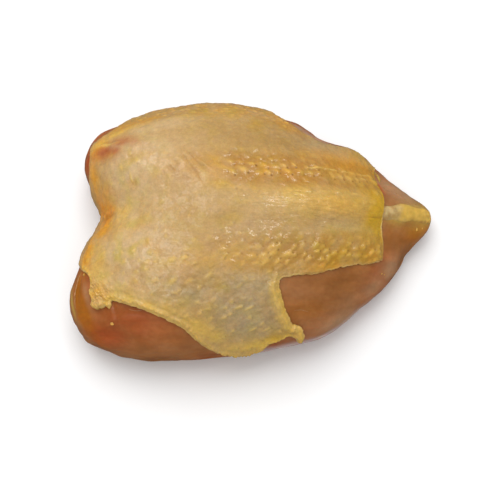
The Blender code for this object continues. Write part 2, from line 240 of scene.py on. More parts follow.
# Scattered bumps outside the tracts
SCATTER_SEED = 33
SCATTER_OFF_EDGE = 0.0045
SCATTER_DRIFT = 0.0012
SCATTER_TURNS = (36, -42)  # on the near lobe and on the far one
SCATTER_RISE = (0.00009, 0.00034)
SCATTER_LENGTH = (0.0008, 0.0015)
SCATTER_WIDTH = (0.0006, 0.0010)
CALM_ABOVE = (-0.016, 0.004)  # where along Y their height starts and ends to fade, towards the far lobe
CALM_SHARE = 0.4  # what is left of it there
LONE_CLEAR = 0.0034  # how far they keep off the bumps that stand out

# Bumps that stand out on the pattern: (x, y, turn in degrees, half length, half width, height)
LONE_BUMPS = metres((
    (-32, -24.2, 42, 2.2, 1.1, 0.5), (-27.6, -24, 42, 1.9, 1, 0.42), (-33.8, -35, 36, 2, 1, 0.38),
    (-27.5, -36, 36, 1.9, 1, 0.34), (-41.1, -34.3, 36, 1.9, 0.9, 0.34), (-49.6, -34.4, 30, 1.8, 1, 0.32),
    (-19.4, -34.4, 40, 2, 0.9, 0.3), (-54.4, -25.5, 30, 1.8, 0.9, 0.34), (-42.5, -25, 36, 1.8, 0.9, 0.36),
    (-48.8, -20.2, 30, 1.8, 0.9, 0.34), (-55.6, -36.1, 30, 1.8, 0.9, 0.3),
    (-53.3, 13.7, -78, 2.1, 0.7, 0.46), (-49.3, 20.1, -60, 1.5, 0.8, 0.36),
    (-58.8, 19.3, -60, 1.5, 0.8, 0.34), (-67.9, 14.9, -60, 1.4, 0.8, 0.3),
    (-54, 24.5, -50, 1.3, 0.8, 0.32), (-5.5, -50.7, 26, 2.4, 0.7, 0.46), (-0.1, -50.8, 26, 2.4, 0.7, 0.46),
    (-9.9, -54, 30, 1.4, 0.9, 0.32), (2.1, -62, 28, 2.4, 0.6, 0.42), (9.3, -62.3, 26, 2.2, 0.6, 0.4),
    (-8.7, -62.8, 40, 1.4, 0.8, 0.34), (-0.2, -55.8, 20, 1.3, 0.9, 0.3), (6.6, -59, 40, 1.4, 0.8, 0.32),
    (-12.5, -55.6, 20, 1.4, 0.9, 0.32), (-19.6, -56, 40, 1.5, 1, 0.36), (-20.9, -51.3, 8, 2.4, 0.6, 0.28),
    (-25.2, -47.5, 20, 1.4, 1, 0.3), (-17.6, -46.7, 30, 1.4, 0.9, 0.28), (-31, -54, 30, 1.5, 0.9, 0.28),
    (14.4, -42.8, 40, 1.6, 0.9, 0.26), (-5.2, -39.8, 40, 1.8, 0.8, 0.26),
    (-14.1, -67.1, 30, 1.6, 0.9, 0.34),
), plain=(2,))

# Soft parallel wrinkles on the pattern: (x, y, half length, half width, turn in degrees, wave, height)
PLEATS = metres((
    (-25, 16, 12, 8, -46, 2.2, 0.11), (-56, 20, 15, 10, -56, 3.4, 0.05), (0, -56, 18, 11, 26, 2.4, 0.07),
    (-42, -33, 20, 12, 32, 3.4, 0.09), (20, -42, 5, 14, 74, 2.2, 0.12), (12, 40, 22, 7, -12, 2.4, 0.05),
    (50, 13.5, 20, 4.2, -78, 4.2, 0.22),
), plain=(4,))

# Torn corner of the skin at the neck end, lumpy with fat
CORNER_PLACE = (-0.0740, -0.0425)
CORNER_REACH = (0.0090, 0.0080)

# Wrinkles of the skin on the pattern: (start x, start y, end x, end y, half width, depth). A negative depth
# is the height of a ridge.
SKIN_CREASES = metres((
    (-32.6, 14.4, -29.3, 11.9, 0.42, 0.36), (-29.8, 21, -23.8, 14, 0.45, 0.3),
    (-24.4, 14.6, -17.3, 5.8, 0.45, 0.38), (-26.7, 21, -20.8, 14.4, 0.45, 0.36),
    (-21, 14.6, -17.2, 12, 0.42, 0.24), (-22.4, 18.4, -15.6, 12.4, 0.42, 0.28),
    (-25.2, 13.6, -22.2, 10.4, 0.42, 0.22), (-19.2, 18.7, -13.9, 14.6, 0.42, 0.22),
    (-16.1, 17.9, -10.6, 13.1, 0.42, 0.2), (-5, 12.3, -1.3, 9, 0.45, 0.22),
    (56, -1.8, 68, -0.5, 0.45, 0.3), (27.6, 18.9, 34.5, 20.5, 0.5, -0.52),
    (36.6, 20.2, 42.8, 20.8, 0.44, -0.44), (45.5, 20.8, 51.2, 21.5, 0.4, -0.36),
    (57, 21.4, 62.5, 22.1, 0.4, -0.36), (18.5, 3.6, 23, 3.6, 0.46, -0.36), (24.2, 5, 30, 5.4, 0.44, -0.36),
    (33.3, 6.4, 36.2, 6.4, 0.5, -0.4), (40.2, 7.6, 43.6, 7.2, 0.5, -0.44),
    (49.6, 8.2, 53.5, 8.7, 0.46, -0.34), (-81, 38.5, -65.5, 35.8, 0.8, 0.3),
    (-80, 36.8, -64, 34.2, 0.85, -0.3), (-82, -1.2, -69, 0, 1.5, 0.6),
    (-78, -34.5, -74.5, -39.5, 0.6, 0.35), (-77, -42, -73.5, -46.5, 0.55, 0.26),
    (-74, -40, -69, -45.5, 0.5, 0.24), (-79, -45, -76.5, -48.5, 0.5, 0.22),
))

# Low relief of the skin: (height, wave, seed, turn in degrees, stretch), the last two where it is drawn out.
# The lumps' heights are shares of the lumps setting. The strip along the keel has fine lines for fine lumps.
LUMP_WAVES = ((1.0, 0.0240, 23), (0.42, 0.0090, 24), (0.064, 0.0042, 25))
FINE_LUMP_WAVES = ((0.256, 0.0042, 25), (0.11, 0.0022, 29))
STRIP_WAVES = ((0.00005, 0.0019, 22, 2, 9),)
CREASE_BEND = 0.00015
CORNER_WAVES = ((0.00045, 0.0034, 26, -50, 1.6), (0.00026, 0.0016, 30, -50, 1.2))

# How strongly the colours of tops, pits, ground and creases show, in the tracts and outside them
# Tops are pale with a painted highlight; pits, ground and creases are painted shade
TRACT_TOPS = 0.63
TRACT_PITS = 0.85
TRACT_GROUND = 0.43
LOOSE_TOPS = 0.95
LOOSE_PITS = 0.50
CREASE_DARK = 0.45

# Smooth strip of skin along the keel, with fine lines along it
KEEL_STRIP_PLACE = (0.030, -0.0015)
KEEL_STRIP_REACH = (0.044, 0.0100)

# Keel cartilage, a strip from under the skin's cut edge over the tip
KEEL_LINE_PLAN = metres(((66.5, 2.8), (75.5, 3.2), (81.1, 4.4), (90, 5.6), (100, 6.5), (113, 7.6)))
KEEL_WIDTH = metres(((66.5, 10.4), (75.5, 11.4), (81.1, 12.2), (90, 11.8), (100, 12.2), (113, 11.2)))
KEEL_HEIGHT = metres(((66.5, 0.9), (75.5, 1), (84, 1.2), (92, 1.5), (100, 1.7), (113, 1.3)))
KEEL_DARK_SPOT = (0.1150, 0.0084)
KEEL_DARK_REACH = (0.0013, 0.0012)
KEEL_FAT_RUN = (0.0765, 0.0860)
KEEL_WAVES = ((0.00018, 0.0110, 62), (0.00010, 0.0034, 63, 8, 1.8))
KEEL_RIM = 0.0034
KEEL_FLAT_SHARE = 0.50
KEEL_FAR_LINE = 0.0004
KEEL_STEP = 0.0006
KEEL_SUNK = 0.00035

# Soft spots of colour on the pattern, in the order in which they are laid over each other
SKIN_SPOTS = spot_rows(
    # Painted sheen: skin painted paler where broad light shines on it, mostly on the left lobes
    pale=(
        (-52, 18, 24, 19, 0, 0.95), (-50, -15, 22, 17, 0, 0.78), (-56, -36, 17, 10, -15, 0.75),
        (-20, 8, 15, 9, 0, 0.4), (-45, 40, 20, 8, 15, 0.6), (12, 0, 18, 6, 3, 0.3),
        (-15, 57, 40, 6, 0, 0.6),
    ),
    dusky=(
        (24, 31, 28, 9, -6, 0.7), (6, 46, 16, 7, -20, 0.5), (56, -6.5, 12, 4.5, 5, 0.3),
        (-78, 18, 8, 10, 0, 0.4),
    ),
    grey=(
        (-2, -54.5, 16, 13, -8, 0.9), (3, -40, 20, 7, 0, 0.6), (-30, -43, 12, 6, -20, 0.45),
        (48, -7.8, 13, 3.4, 5, 0.5), (33, 37, 14, 4, -20, 0.5),
    ),
    yellow=(
        (67.5, 4, 12.5, 30, 0, 1.4), (56, 2, 11, 7, 4, 0.6), (54, -21.5, 25, 8, 6, 1.15),
        (29, -20, 10, 6, 0, 0.5), (-12.4, 5.8, 3, 2.6, 0, 0.65), (-16.8, 17.7, 4, 2, -40, 0.5),
        (30, 45, 5, 3, 0, 0.4), (3, 44, 4, 4, 0, 0.4), (16.5, -46, 3.6, 11, 12, 0.75),
        (18, -68, 11, 4.5, 20, 1), (29, -66, 4, 6, 0, 0.8),
    ),
    orange=(
        (15, 16, 36, 8, 3, 0.7), (50, 24.5, 22, 7, 2, 1.1), (40, 2, 14, 4, 4, 0.4),
        (2, -26, 30, 6, 0, 0.25), (62, -20, 8, 6, 0, 0.7), (40, -29, 16, 3, 8, 0.8),
        (-15, 59, 42, 7, 0, 0.6), (17, 52, 14, 6, -40, 0.6), (-79, 35, 6, 8, 0, 1),
        (-84, 20, 6, 14, 0, 0.9), (-77, 6, 9, 11, 20, 1.2), (-84, -21, 6, 15, 10, 1.15),
        (-76, -8, 8, 8, 30, 1.15), (-75.5, -42, 7.5, 6.5, 0, 0.95), (-62, 47, 16, 5, 15, 0.6),
    ),
    # Notch of the neck: the orange colour of its fat, and painted shade deep in the notch
    brown=((-73, -0.5, 6.2, 5, 0, 1.35), (-82, 6, 4.5, 7, 10, 0.45)),
    bruise=(
        (-70, 30, 10, 3.6, -20, 1.05), (-61, 33.5, 11, 3, -15, 0.6), (-79, 32.5, 5, 4, -20, 0.42),
    ),
    fat=(
        (-74.5, -43, 8.5, 7, 0, 0.55), (-60, -2, 9, 10, 0, 0.5), (30, 2, 30, 6.5, 3, 0.42),
        (52, 19, 20, 5.5, 3, 0.42), (-20, 54, 45, 8, 0, 0.25), (4, -27, 26, 6, 0, 0.42),
        (51, -14, 23, 8, 5, 0.46), (-69, 41.2, 15, 2.8, 15, 0.6), (-78, 38, 6, 1.6, -12, 0.8),
        (-72, -27, 7, 12, 20, 0.55), (-47, -48, 19, 5, -22, 0.95), (-25, -62, 15, 5.5, -35, 0.8),
        (0, -74, 22, 5.5, 6, 0.85),
    ),
    fleck=(
        (20, 16, 50, 11, 3, 0.35), (30, -21, 45, 10, 3, 0.5), (-55, -20, 24, 23, 0, 0.62),
        (-55, 15, 22, 20, 0, 0.48), (-30, -42, 28, 16, -15, 0.36), (0, -56, 22, 16, 0, 0.24),
        (-20, 56, 45, 9, 0, 0.45), (-10, -6, 25, 10, 0, 0.2), (-76, -43, 8, 8, 0, 0.45),
    ),
)
FLESH_SPOTS = spot_rows(
    # Darker flesh: its own darker tone, and painted shadow along the skin's edges
    deep=(
        (-79, 46, 8, 3, 10, 1), (-93, -36, 1.6, 8, 8, 0.8), (38, -37, 24, 5, 5, 0.85),
        (-60, -50, 9, 6, 0, 1.2), (25, -41, 7, 6, 0, 0.9), (75, -6, 4, 12, 0, 0.5),
    ),
    rosy=(
        (-84.5, -43, 2.6, 7.5, 8, 1), (85, 19, 17, 8, -22, 1.2), (23, -44, 9, 7, 0, 0.3),
        (83, -27, 9, 8, 0, 1.1), (74, -39, 12, 8, 30, 0.8), (60, -48, 18, 7, 25, 0.4),
        (56, -60, 26, 8, 20, 1.05), (35, 47.8, 23, 5, -27, 1.2),
    ),
    amber=(
        (-89.5, -56, 5.2, 24, 8, 2), (-86, -33, 2.2, 5, 0, 0.8), (100, -4, 15, 6, 10, 1),
        (27, -52, 12, 8, -10, 0.45), (76, -10, 4, 10, 0, 0.4),
    ),
    red=(
        (-76, -68, 17, 10, 20, 0.6), (-56, -58, 20, 12, -10, 0.55), (71.5, 19.5, 1.6, 4.2, 20, 1),
        (-89, 33, 6, 9, 0, 1),
    ),
    # Pale membrane, painted as a reflection of the white surroundings
    silver=((35, 50, 19, 2.4, -27, 0.2),),
    fat=(
        (-100.5, -50, 2, 8.5, 6, 0.9), (104, 6.6, 17, 7.6, 8, 0.8), (80, 1.2, 8.5, 4, 8, 0.75),
        (116, 7, 6, 6, 0, 0.8),
    ),
)

# Creases in the flesh: (start x, start y, end x, end y, half width, depth)
FLESH_CREASES = metres((
    (-65.4, -44, -66.4, -60, 1, 0.8), (-89, -33, -92.5, -48, 1.2, 0.6), (-62.8, -44, -63.4, -53, 0.8, 0.3),
    (70, 23.5, 72.8, 16, 1, 0.9), (-59, -52, -50, -54, 0.8, 0.2), (78, 10.5, 100, 14, 1.4, 0.3),
    (80, -3, 108, -0.2, 1.6, 0.4),
))

# Membrane along the lowest edge, painted pale as a reflection of the white surroundings: the direction of
# its middle
MEMBRANE_SHEEN_DIRECTION = 303

# Mesh of the flesh, coarser where the skin covers it, and its low swells and fibres
FLESH_STEP = 0.00090
FLESH_COVERED_STEP = 0.0030
FLESH_COVERED_INSET = 0.0060
FLESH_UNDER_STEP = 0.0019
FLESH_UNDER_RELIEF = 0.0009
FLESH_WAVES = ((0.00034, 0.0220, 41), (0.00012, 0.0085, 42, 12, 1.6), (0.000035, 0.0034, 43, 8, 6))
FLESH_UNDER_WAVES = ((0.35, 0.0200, 51), (0.18, 0.0070, 52))

# Strands of membrane on the flesh: (places, half width, half height)
MEMBRANE_STRANDS = metres((
    (((75.8, 20.5), (81.5, 17), (87.1, 12.7), (93, 12.4), (99.5, 12.8)), 0.24, 0.18),
    (((-91.2, -31), (-93.2, -37), (-95, -45), (-96.2, -52)), 0.42, 0.4),
    (((22.8, -53), (26.8, -52.6), (31, -53.8)), 0.16, 0.05),
    (((-58, -50), (-54.5, -51), (-51.5, -50.7)), 0.16, 0.06),
))
FOLD_STRANDS = metres(((((72.6, 30.4), (74.3, 28.4), (74.9, 26), (74.4, 23.8)), 1.2, 0.6),))
STRAND_STEP = 0.0004
STRAND_SIDES = 10

# Beads of fat on the flesh: (x, y, radius, height)
FAT_BEADS = metres((
    (-69.8, -58.6, 1, 0.7), (76.4, -30.2, 0.45, 0.3), (79, -30.6, 0.35, 0.2), (98.5, -2.2, 0.9, 0.4),
    (103.5, -1, 0.5, 0.3), (-86.8, -32.2, 0.8, 0.5),
))

# Waves that add up to one uneven surface
WAVES = 9

# Camera: where the photograph looks from, with the aim moved to put the breast where it stands in it
LENS = 85.0
CAMERA_ELEVATION = 73.0
CAMERA_DISTANCE = 0.590
CAMERA_TARGET = (0.0, 0.0, 0.024)
CAMERA_SLIDE = (-0.0050, -0.0090)

# Light: a broad overhead softbox that the gloss doesn't mirror, and small lamps that give the wet glints
KEY_DIRECTION = (-0.14, 0.36, 0.92)
KEY_DISTANCE = 1.20
KEY_SIZE = 1.00
GLINT_DISTANCE = 0.95

# Lamps that only the wet gloss shows: (direction, size, share of the glint power)
GLINT_LAMPS = (
    ((0.35, 0.31, 0.88), 0.17, 1.20),
    ((-0.48, 0.30, 0.82), 0.30, 0.90),
    ((-0.35, -0.30, 0.88), 0.26, 0.80),
    ((0.25, -0.45, 0.86), 0.26, 0.35),
    ((0.60, 0.33, 0.80), 0.18, 0.50),
)
FLOOR_SIZE = 12.0

# Share of white light that the wet gloss adds to every colour, and the light's level on a flat surface
GLOSS = 0.020
LIGHT_LEVEL = 1.20


def smooth(pairs, at, period=None):
    """The smooth curve through (place, value) pairs, read at other places."""
    knots = np.array([pair[0] for pair in pairs], float)
    values = np.array([pair[1] for pair in pairs], float)
    if period:
        at = np.mod(at, period)
        knots = np.concatenate([knots[-2:] - period, knots, knots[:2] + period])
        values = np.concatenate([values[-2:], values, values[:2]])
    steps = np.diff(knots)
    grades = np.diff(values) / steps
    inner = (grades[:-1] * steps[1:] + grades[1:] * steps[:-1]) / (steps[1:] + steps[:-1])
    slopes = np.concatenate([[grades[0]], inner, [grades[-1]]])
    piece = np.clip(np.searchsorted(knots, at, side="right") - 1, 0, len(steps) - 1)
    width = steps[piece]
    t = np.clip((at - knots[piece]) / width, 0, 1)
    start = (2 * t**3 - 3 * t**2 + 1) * values[piece] + (t**3 - 2 * t**2 + t) * width * slopes[piece]
    end = (3 * t**2 - 2 * t**3) * values[piece + 1] + (t**3 - t**2) * width * slopes[piece + 1]
    return start + end


def ease(x, low, high):
    """0 below low, 1 above high, and a smooth rise between."""
    t = np.clip((x - low) / (high - low), 0, 1)
    return t * t * (3 - 2 * t)


def fade(x, low, high):
    """1 below low, 0 above high, and a smooth fall between."""
    return ease(-x, -high, -low)


def hump(x, width):
    """1 where x is 0, fading out past the width on both sides."""
    return np.exp(-((x / width) ** 2))


def turned(places, centre, turn):
    """Places seen from a centre, along and across a direction of so many degrees."""
    x = places[:, 0] - centre[0]
    y = places[:, 1] - centre[1]
    angle = np.radians(turn)
    return x * np.cos(angle) + y * np.sin(angle), y * np.cos(angle) - x * np.sin(angle)


def spot(places, centre, reach, turn=0.0):
    """A soft round or oval spot: 1 at its centre, fading out past its reach."""
    along, across = turned(places, centre, turn)
    return np.exp(-((along / reach[0]) ** 2) - (across / reach[1]) ** 2)


def uneven(places, wave, seed, turn=0.0, stretch=1.0):
    """A smooth random height, mostly from -1 to 1, drawn out along a turn."""
    draw = np.random.default_rng(seed)
    along, across = turned(places, (0.0, 0.0), turn)
    total = np.zeros(len(places))
    for _ in range(WAVES):
        heading = draw.uniform(0, 2 * np.pi)
        number = 2 * np.pi / (wave * draw.uniform(0.75, 1.4))
        reading = along * np.cos(heading) / stretch + across * np.sin(heading)
        total += np.cos(number * reading + draw.uniform(0, 2 * np.pi))
    return total / np.sqrt(WAVES)


def waves(places, rows):
    """The sum of uneven heights, from rows of a height and the rest of what uneven takes."""
    return sum(height * uneven(places, *wave) for height, *wave in rows)


def plan_radius(direction):
    return smooth(PLAN, direction, 360.0)


def crown_height(x, y):
    """Height of the flesh's crown: the keel's line and crest, the valley of the neck end and the lobes."""
    neck = np.clip((NECK_VALLEY_START - x) / NECK_VALLEY_RUN, 0, 1) ** 1.4
    lobes = sum(hump(y - side * LOBE_SWELL_CENTRE[1], LOBE_SWELL_SIZE[1]) for side in (1, -1))
    keel_y = KEEL_BEND * ease(x, 0.0, 0.095)
    ripple = np.sin(x / UNEVENNESS_WAVES[0] + 1.0) * np.sin(y / UNEVENNESS_WAVES[1] + 2.0)
    return (
        smooth(KEEL_LINE, x)
        - NECK_VALLEY_DEPTH * hump(y, NECK_VALLEY_WIDTH) * neck
        + LOBE_SWELL * hump(x - LOBE_SWELL_CENTRE[0], LOBE_SWELL_SIZE[0]) * lobes
        + KEEL_CREST * hump(y - keel_y, KEEL_CREST_WIDTH) * ease(x, -0.025, 0.015)
        + UNEVENNESS * ripple
    )


def flesh_point(direction, fall):
    """Points on the flesh for arrays of direction and fall, both in degrees."""
    radius = plan_radius(direction)
    along = np.cos(np.radians(direction))
    across = np.sin(np.radians(direction))
    outward = np.clip(np.sin(np.radians(fall)), 0, 1)
    upright = np.abs(np.cos(np.radians(fall)))
    roundness = SHOULDER_ROUNDNESS + (NECK_ROUNDNESS - SHOULDER_ROUNDNESS) * ease(-along, 0.1, 0.95)
    spread = np.where(fall <= 90, outward**roundness, FOOT_SPREAD + (1 - FOOT_SPREAD) * outward)
    x = CROWN[0] + radius * spread * along
    y = CROWN[1] + radius * spread * across
    taper = ease(CROWN[0] + radius * along, *TIP_TAPER)
    widest = WIDEST_HEIGHT + (WIDEST_HEIGHT_TIP - WIDEST_HEIGHT) * taper
    above = widest + (crown_height(x, y) - widest) * upright**roundness
    z = np.where(fall <= 90, above, widest * (1 - upright))
    return np.column_stack([x, y, z])


def pattern_lengths():
    """Falls in degrees, and the length of the pattern down to each, in plan radii."""
    falls = np.linspace(0, 180, PATTERN_STEPS + 1)
    turn = np.radians(falls)
    rate = np.sqrt(np.cos(turn) ** 2 + (PATTERN_RISE * np.sin(turn)) ** 2)
    middles = (rate[1:] + rate[:-1]) / 2
    return falls, np.concatenate([[0], np.cumsum(middles * np.diff(turn))])


FALLS, LENGTHS = pattern_lengths()


def pattern_point(direction, fall):
    """Where a place on the flesh lies on the flat pattern."""
    length = plan_radius(direction) * np.interp(fall, FALLS, LENGTHS)
    x = CROWN[0] + length * np.cos(np.radians(direction))
    y = CROWN[1] + length * np.sin(np.radians(direction))
    return np.column_stack([x, y])


def polar(places):
    """The direction and the fall, both in degrees, of places on the flat pattern."""
    away = places - np.array(CROWN)
    direction = np.degrees(np.arctan2(away[..., 1], away[..., 0]))
    length = np.hypot(away[..., 0], away[..., 1]) / plan_radius(direction)
    return direction, np.interp(length, LENGTHS, FALLS)


def laid(places):
    """Points on the flesh under places of the flat pattern."""
    return flesh_point(*polar(places))


def laid_above(places, height):
    """Points that stand off the flesh by a height, square to it."""
    steps = np.eye(2) * NORMAL_STEP
    along_x, along_y = (laid(places + step) - laid(places - step) for step in steps)
    across = np.cross(along_x, along_y)
    normal = across / np.linalg.norm(across, axis=-1, keepdims=True)
    return laid(places) + normal * np.broadcast_to(height, len(places))[:, None]


def run_along(line):
    """How far along a line each of its points is."""
    return np.concatenate([[0], np.cumsum(np.linalg.norm(np.diff(line, axis=0), axis=1))])


def edge_curve(corners, step):
    """Places about a step apart on a smooth curve through a stretch's corners, without its last one."""
    corners = np.array(corners)
    at = run_along(corners)
    reads = np.linspace(0, at[-1], max(2, round(at[-1] / step)), endpoint=False)
    return np.column_stack([smooth(list(zip(at, column)), reads) for column in corners.T])


def outward_of(outline):
    """Unit directions out of an anticlockwise or clockwise outline, at each of its places."""
    run = np.roll(outline, -1, axis=0) - np.roll(outline, 1, axis=0)
    out = np.column_stack([run[:, 1], -run[:, 0]]) / np.linalg.norm(run, axis=1, keepdims=True)
    return out if area_of(outline) > 0 else -out


def area_of(outline):
    ends = np.roll(outline, -1, axis=0)
    return ((outline[:, 0] * ends[:, 1]) - (outline[:, 1] * ends[:, 0])).sum() / 2


def nearest(places, outline):
    """Each place's distance from an outline's places, and the number of the nearest."""
    tree = KDTree(len(outline))
    for number, (x, y) in enumerate(outline):
        tree.insert((x, y, 0.0), number)
    tree.balance()
    found = [tree.find((x, y, 0.0))[1:] for x, y in places]
    return np.array([item[1] for item in found]), np.array([item[0] for item in found])


def row_crossings(outline, y):
    """Where a row at one Y crosses an outline, in order of X."""
    ends = np.roll(outline, -1, axis=0)
    over = (outline[:, 1] > y) != (ends[:, 1] > y)
    start, end = outline[over], ends[over]
    return np.sort(start[:, 0] + (y - start[:, 1]) * (end[:, 0] - start[:, 0]) / (end[:, 1] - start[:, 1]))


def grid_within(outline, step, keep_off):
    """Staggered grid places inside an outline, kept off its edge."""
    low = outline.min(axis=0)
    high = outline.max(axis=0)
    grid = []
    for number, y in enumerate(np.arange(low[1], high[1], step * 0.866)):
        x = np.arange(low[0] + step / 2 * (number % 2), high[0], step)
        x = x[np.searchsorted(row_crossings(outline, y), x) % 2 == 1]
        grid.append(np.column_stack([x, np.full(len(x), y)]))
    grid = np.concatenate(grid)
    return grid[nearest(grid, outline)[0] > keep_off]


def triangles(outline, inner):
    """Triangles, anticlockwise from above, over an outline and inner places. The outline's come first."""
    places = [Vector(place) for place in np.concatenate([outline, inner])]
    made = delaunay_2d_cdt(places, [], [list(range(len(outline)))], 1, 1e-9)
    spots, faces, sources = made[0], made[2], made[3]
    number = np.array([min(source) for source in sources])
    spots = np.array([tuple(place) for place in spots])
    faces = np.array(faces)
    a, b, c = (spots[faces[:, corner]] for corner in range(3))
    turn = (b[:, 0] - a[:, 0]) * (c[:, 1] - a[:, 1]) - (b[:, 1] - a[:, 1]) * (c[:, 0] - a[:, 0])
    faces[turn < 0] = faces[turn < 0][:, ::-1]
    return number[faces]


def pushed_out(points, faces, height):
    """Points moved along their own normals, weighed from the triangles round them."""
    a, b, c = (points[faces[:, corner]] for corner in range(3))
    across = np.cross(b - a, c - a)
    normal = np.zeros_like(points)
    for corner in range(3):
        np.add.at(normal, faces[:, corner], across)
    length = np.linalg.norm(normal, axis=1, keepdims=True)
    return points + normal / np.maximum(length, 1e-15) * height[:, None]


def add_mesh(name, points, faces, finishes, material, replaced=()):
    """A piece that rides on the breast, with each finish kept as a value at its points."""
    mesh = bpy.data.meshes.new(name)
    mesh.from_pydata((points + np.array(STANDS_AT)).tolist(), [], [list(map(int, face)) for face in faces])
    for finish, values in finishes.items():
        layer = mesh.attributes.new(finish, "FLOAT", "POINT")
        layer.data.foreach_set("value", np.asarray(values, np.float32))
    mesh.shade_smooth()
    mesh.materials.append(material)
    piece = bpy.data.objects.new(name, mesh)
    bpy.context.scene.collection.objects.link(piece)
    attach(piece, "root")
    if replaced:
        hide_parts(*replaced)
    return piece


def sheet_faces(outline, inner, under_inner):
    """Faces of a closed sheet on one outline, with the points of its top numbered before the underside's."""
    count = len(outline) + len(inner)
    edge = np.arange(len(outline))
    follower = np.roll(edge, -1)
    sides = np.column_stack([edge + count, follower + count, follower, edge])
    if area_of(outline) < 0:
        sides = sides[:, ::-1]
    return [*triangles(outline, inner), *(triangles(outline, under_inner)[:, ::-1] + count), *sides]


def spots_of(rows, places):
    """The strength of one finish at each place, from its soft spots."""
    total = np.zeros(len(places))
    for x, y, half_length, half_width, turn, strength in rows:
        total = np.maximum(total, strength * spot(places, (x, y), (half_length, half_width), turn))
    return total


class Nodes:
    """A material's nodes, made one after the other."""

    def __init__(self, name):
        self.material = bpy.data.materials.new(name)
        self.material.use_nodes = True
        self.tree = self.material.node_tree
        self.place = self.node("TexCoord", {})["Object"]

    def put(self, node, values):
        """Sets sockets of a node to values, or links other sockets to them."""
        for name, value in values.items():
            if isinstance(value, bpy.types.NodeSocket):
                self.tree.links.new(value, node.inputs[name])
            else:
                node.inputs[name].default_value = value

    def node(self, kind, values, **settings):
        """The outputs of a new node with these settings and these values at its sockets."""
        node = self.tree.nodes.new("ShaderNode" + kind)
        for name, setting in settings.items():
            setattr(node, name, setting)
        self.put(node, values)
        return node.outputs

    def noise(self, scale, detail=3.0, stretch=(1.0, 1.0, 1.0), turn=0.0):
        """Noise from 0 to 1, drawn out by its stretch along X turned by so many degrees."""
        mapping = {"Vector": self.place, "Rotation": (0.0, 0.0, np.radians(turn)), "Scale": stretch}
        place = self.node("Mapping", mapping)["Vector"]
        return self.node("TexNoise", {"Vector": place, "Scale": scale, "Detail": detail})["Fac"]

    def spread(self, value, low, high, to_low=0.0, to_high=1.0):
        """A value read between low and high, and spread from one number to another."""
        sockets = ("Value", "From Min", "From Max", "To Min", "To Max")
        return self.node("MapRange", dict(zip(sockets, (value, low, high, to_low, to_high))))["Result"]

    def sum(self, operation, first, second):
        """Two values worked into one, by an operation such as ADD or MULTIPLY."""
        return self.node("Math", {0: first, 1: second}, operation=operation)["Value"]

    def finish(self, name):
        """The value of one finish at the points of the mesh."""
        return self.node("Attribute", {}, attribute_name=name)["Fac"]

    def mix(self, factor, under, over, blend="MIX"):
        """One colour laid over another, by a factor from 0 to 1."""
        sockets = {"Factor": factor, "A": under, "B": over}
        return self.node("Mix", sockets, data_type="RGBA", blend_type=blend)["Result"]

    def bump(self, height, distance, under=None):
        """Normals bent by a height of so many metres, over those of another bump."""
        sockets = {"Height": height, "Distance": distance}
        if under is not None:
            sockets["Normal"] = under
        return self.node("Bump", sockets)["Normal"]

    def painted(self, colour_now, settings, finishes, share):
        """A colour under those of the finishes, each as strong as its own value times a share."""
        for finish in finishes:
            strength = self.spread(self.sum("MULTIPLY", self.finish(finish), share), 0.0, 1.0)
            colour_now = self.mix(strength, colour_now, albedo(getattr(settings, finish)))
        return colour_now

    def shaded(self, colour_now, *shades):
        """A colour darkened and lightened by noises, each with its darkest and its lightest share."""
        for value, dark, light in shades:
            shade = self.spread(value, 0.33, 0.67, dark, light)
            colour_now = self.mix(1.0, colour_now, shade, "MULTIPLY")
        return colour_now

    def made(self, values):
        """The material, with these values at the sockets of its shader."""
        self.put(self.tree.nodes["Principled BSDF"], values)
        return self.material


def albedo(colour):
    """The colour of a material that looks like this display colour under the stage's light."""
    values = np.array(colour)
    linear = np.where(values <= 0.04045, values / 12.92, ((values + 0.055) / 1.055) ** 2.4)
    return (*np.clip((linear - GLOSS) / LIGHT_LEVEL, 0.002, 1.0), 1.0)


def length(name, description, default):
    return FloatProperty(name=name, description=description, default=default, unit="LENGTH", precision=5)


def factor(name, description, default):
    return FloatProperty(
        name=name, description=description, default=default, min=0, max=1, subtype="FACTOR"
    )


def colour(name, description, red, green, blue):
    """A display colour from 0 to 255 a channel."""
    default = (red / 255, green / 255, blue / 255)
    return FloatVectorProperty(
        name=name, description=description, default=default, size=3, min=0, max=1, subtype="COLOR_GAMMA"
    )


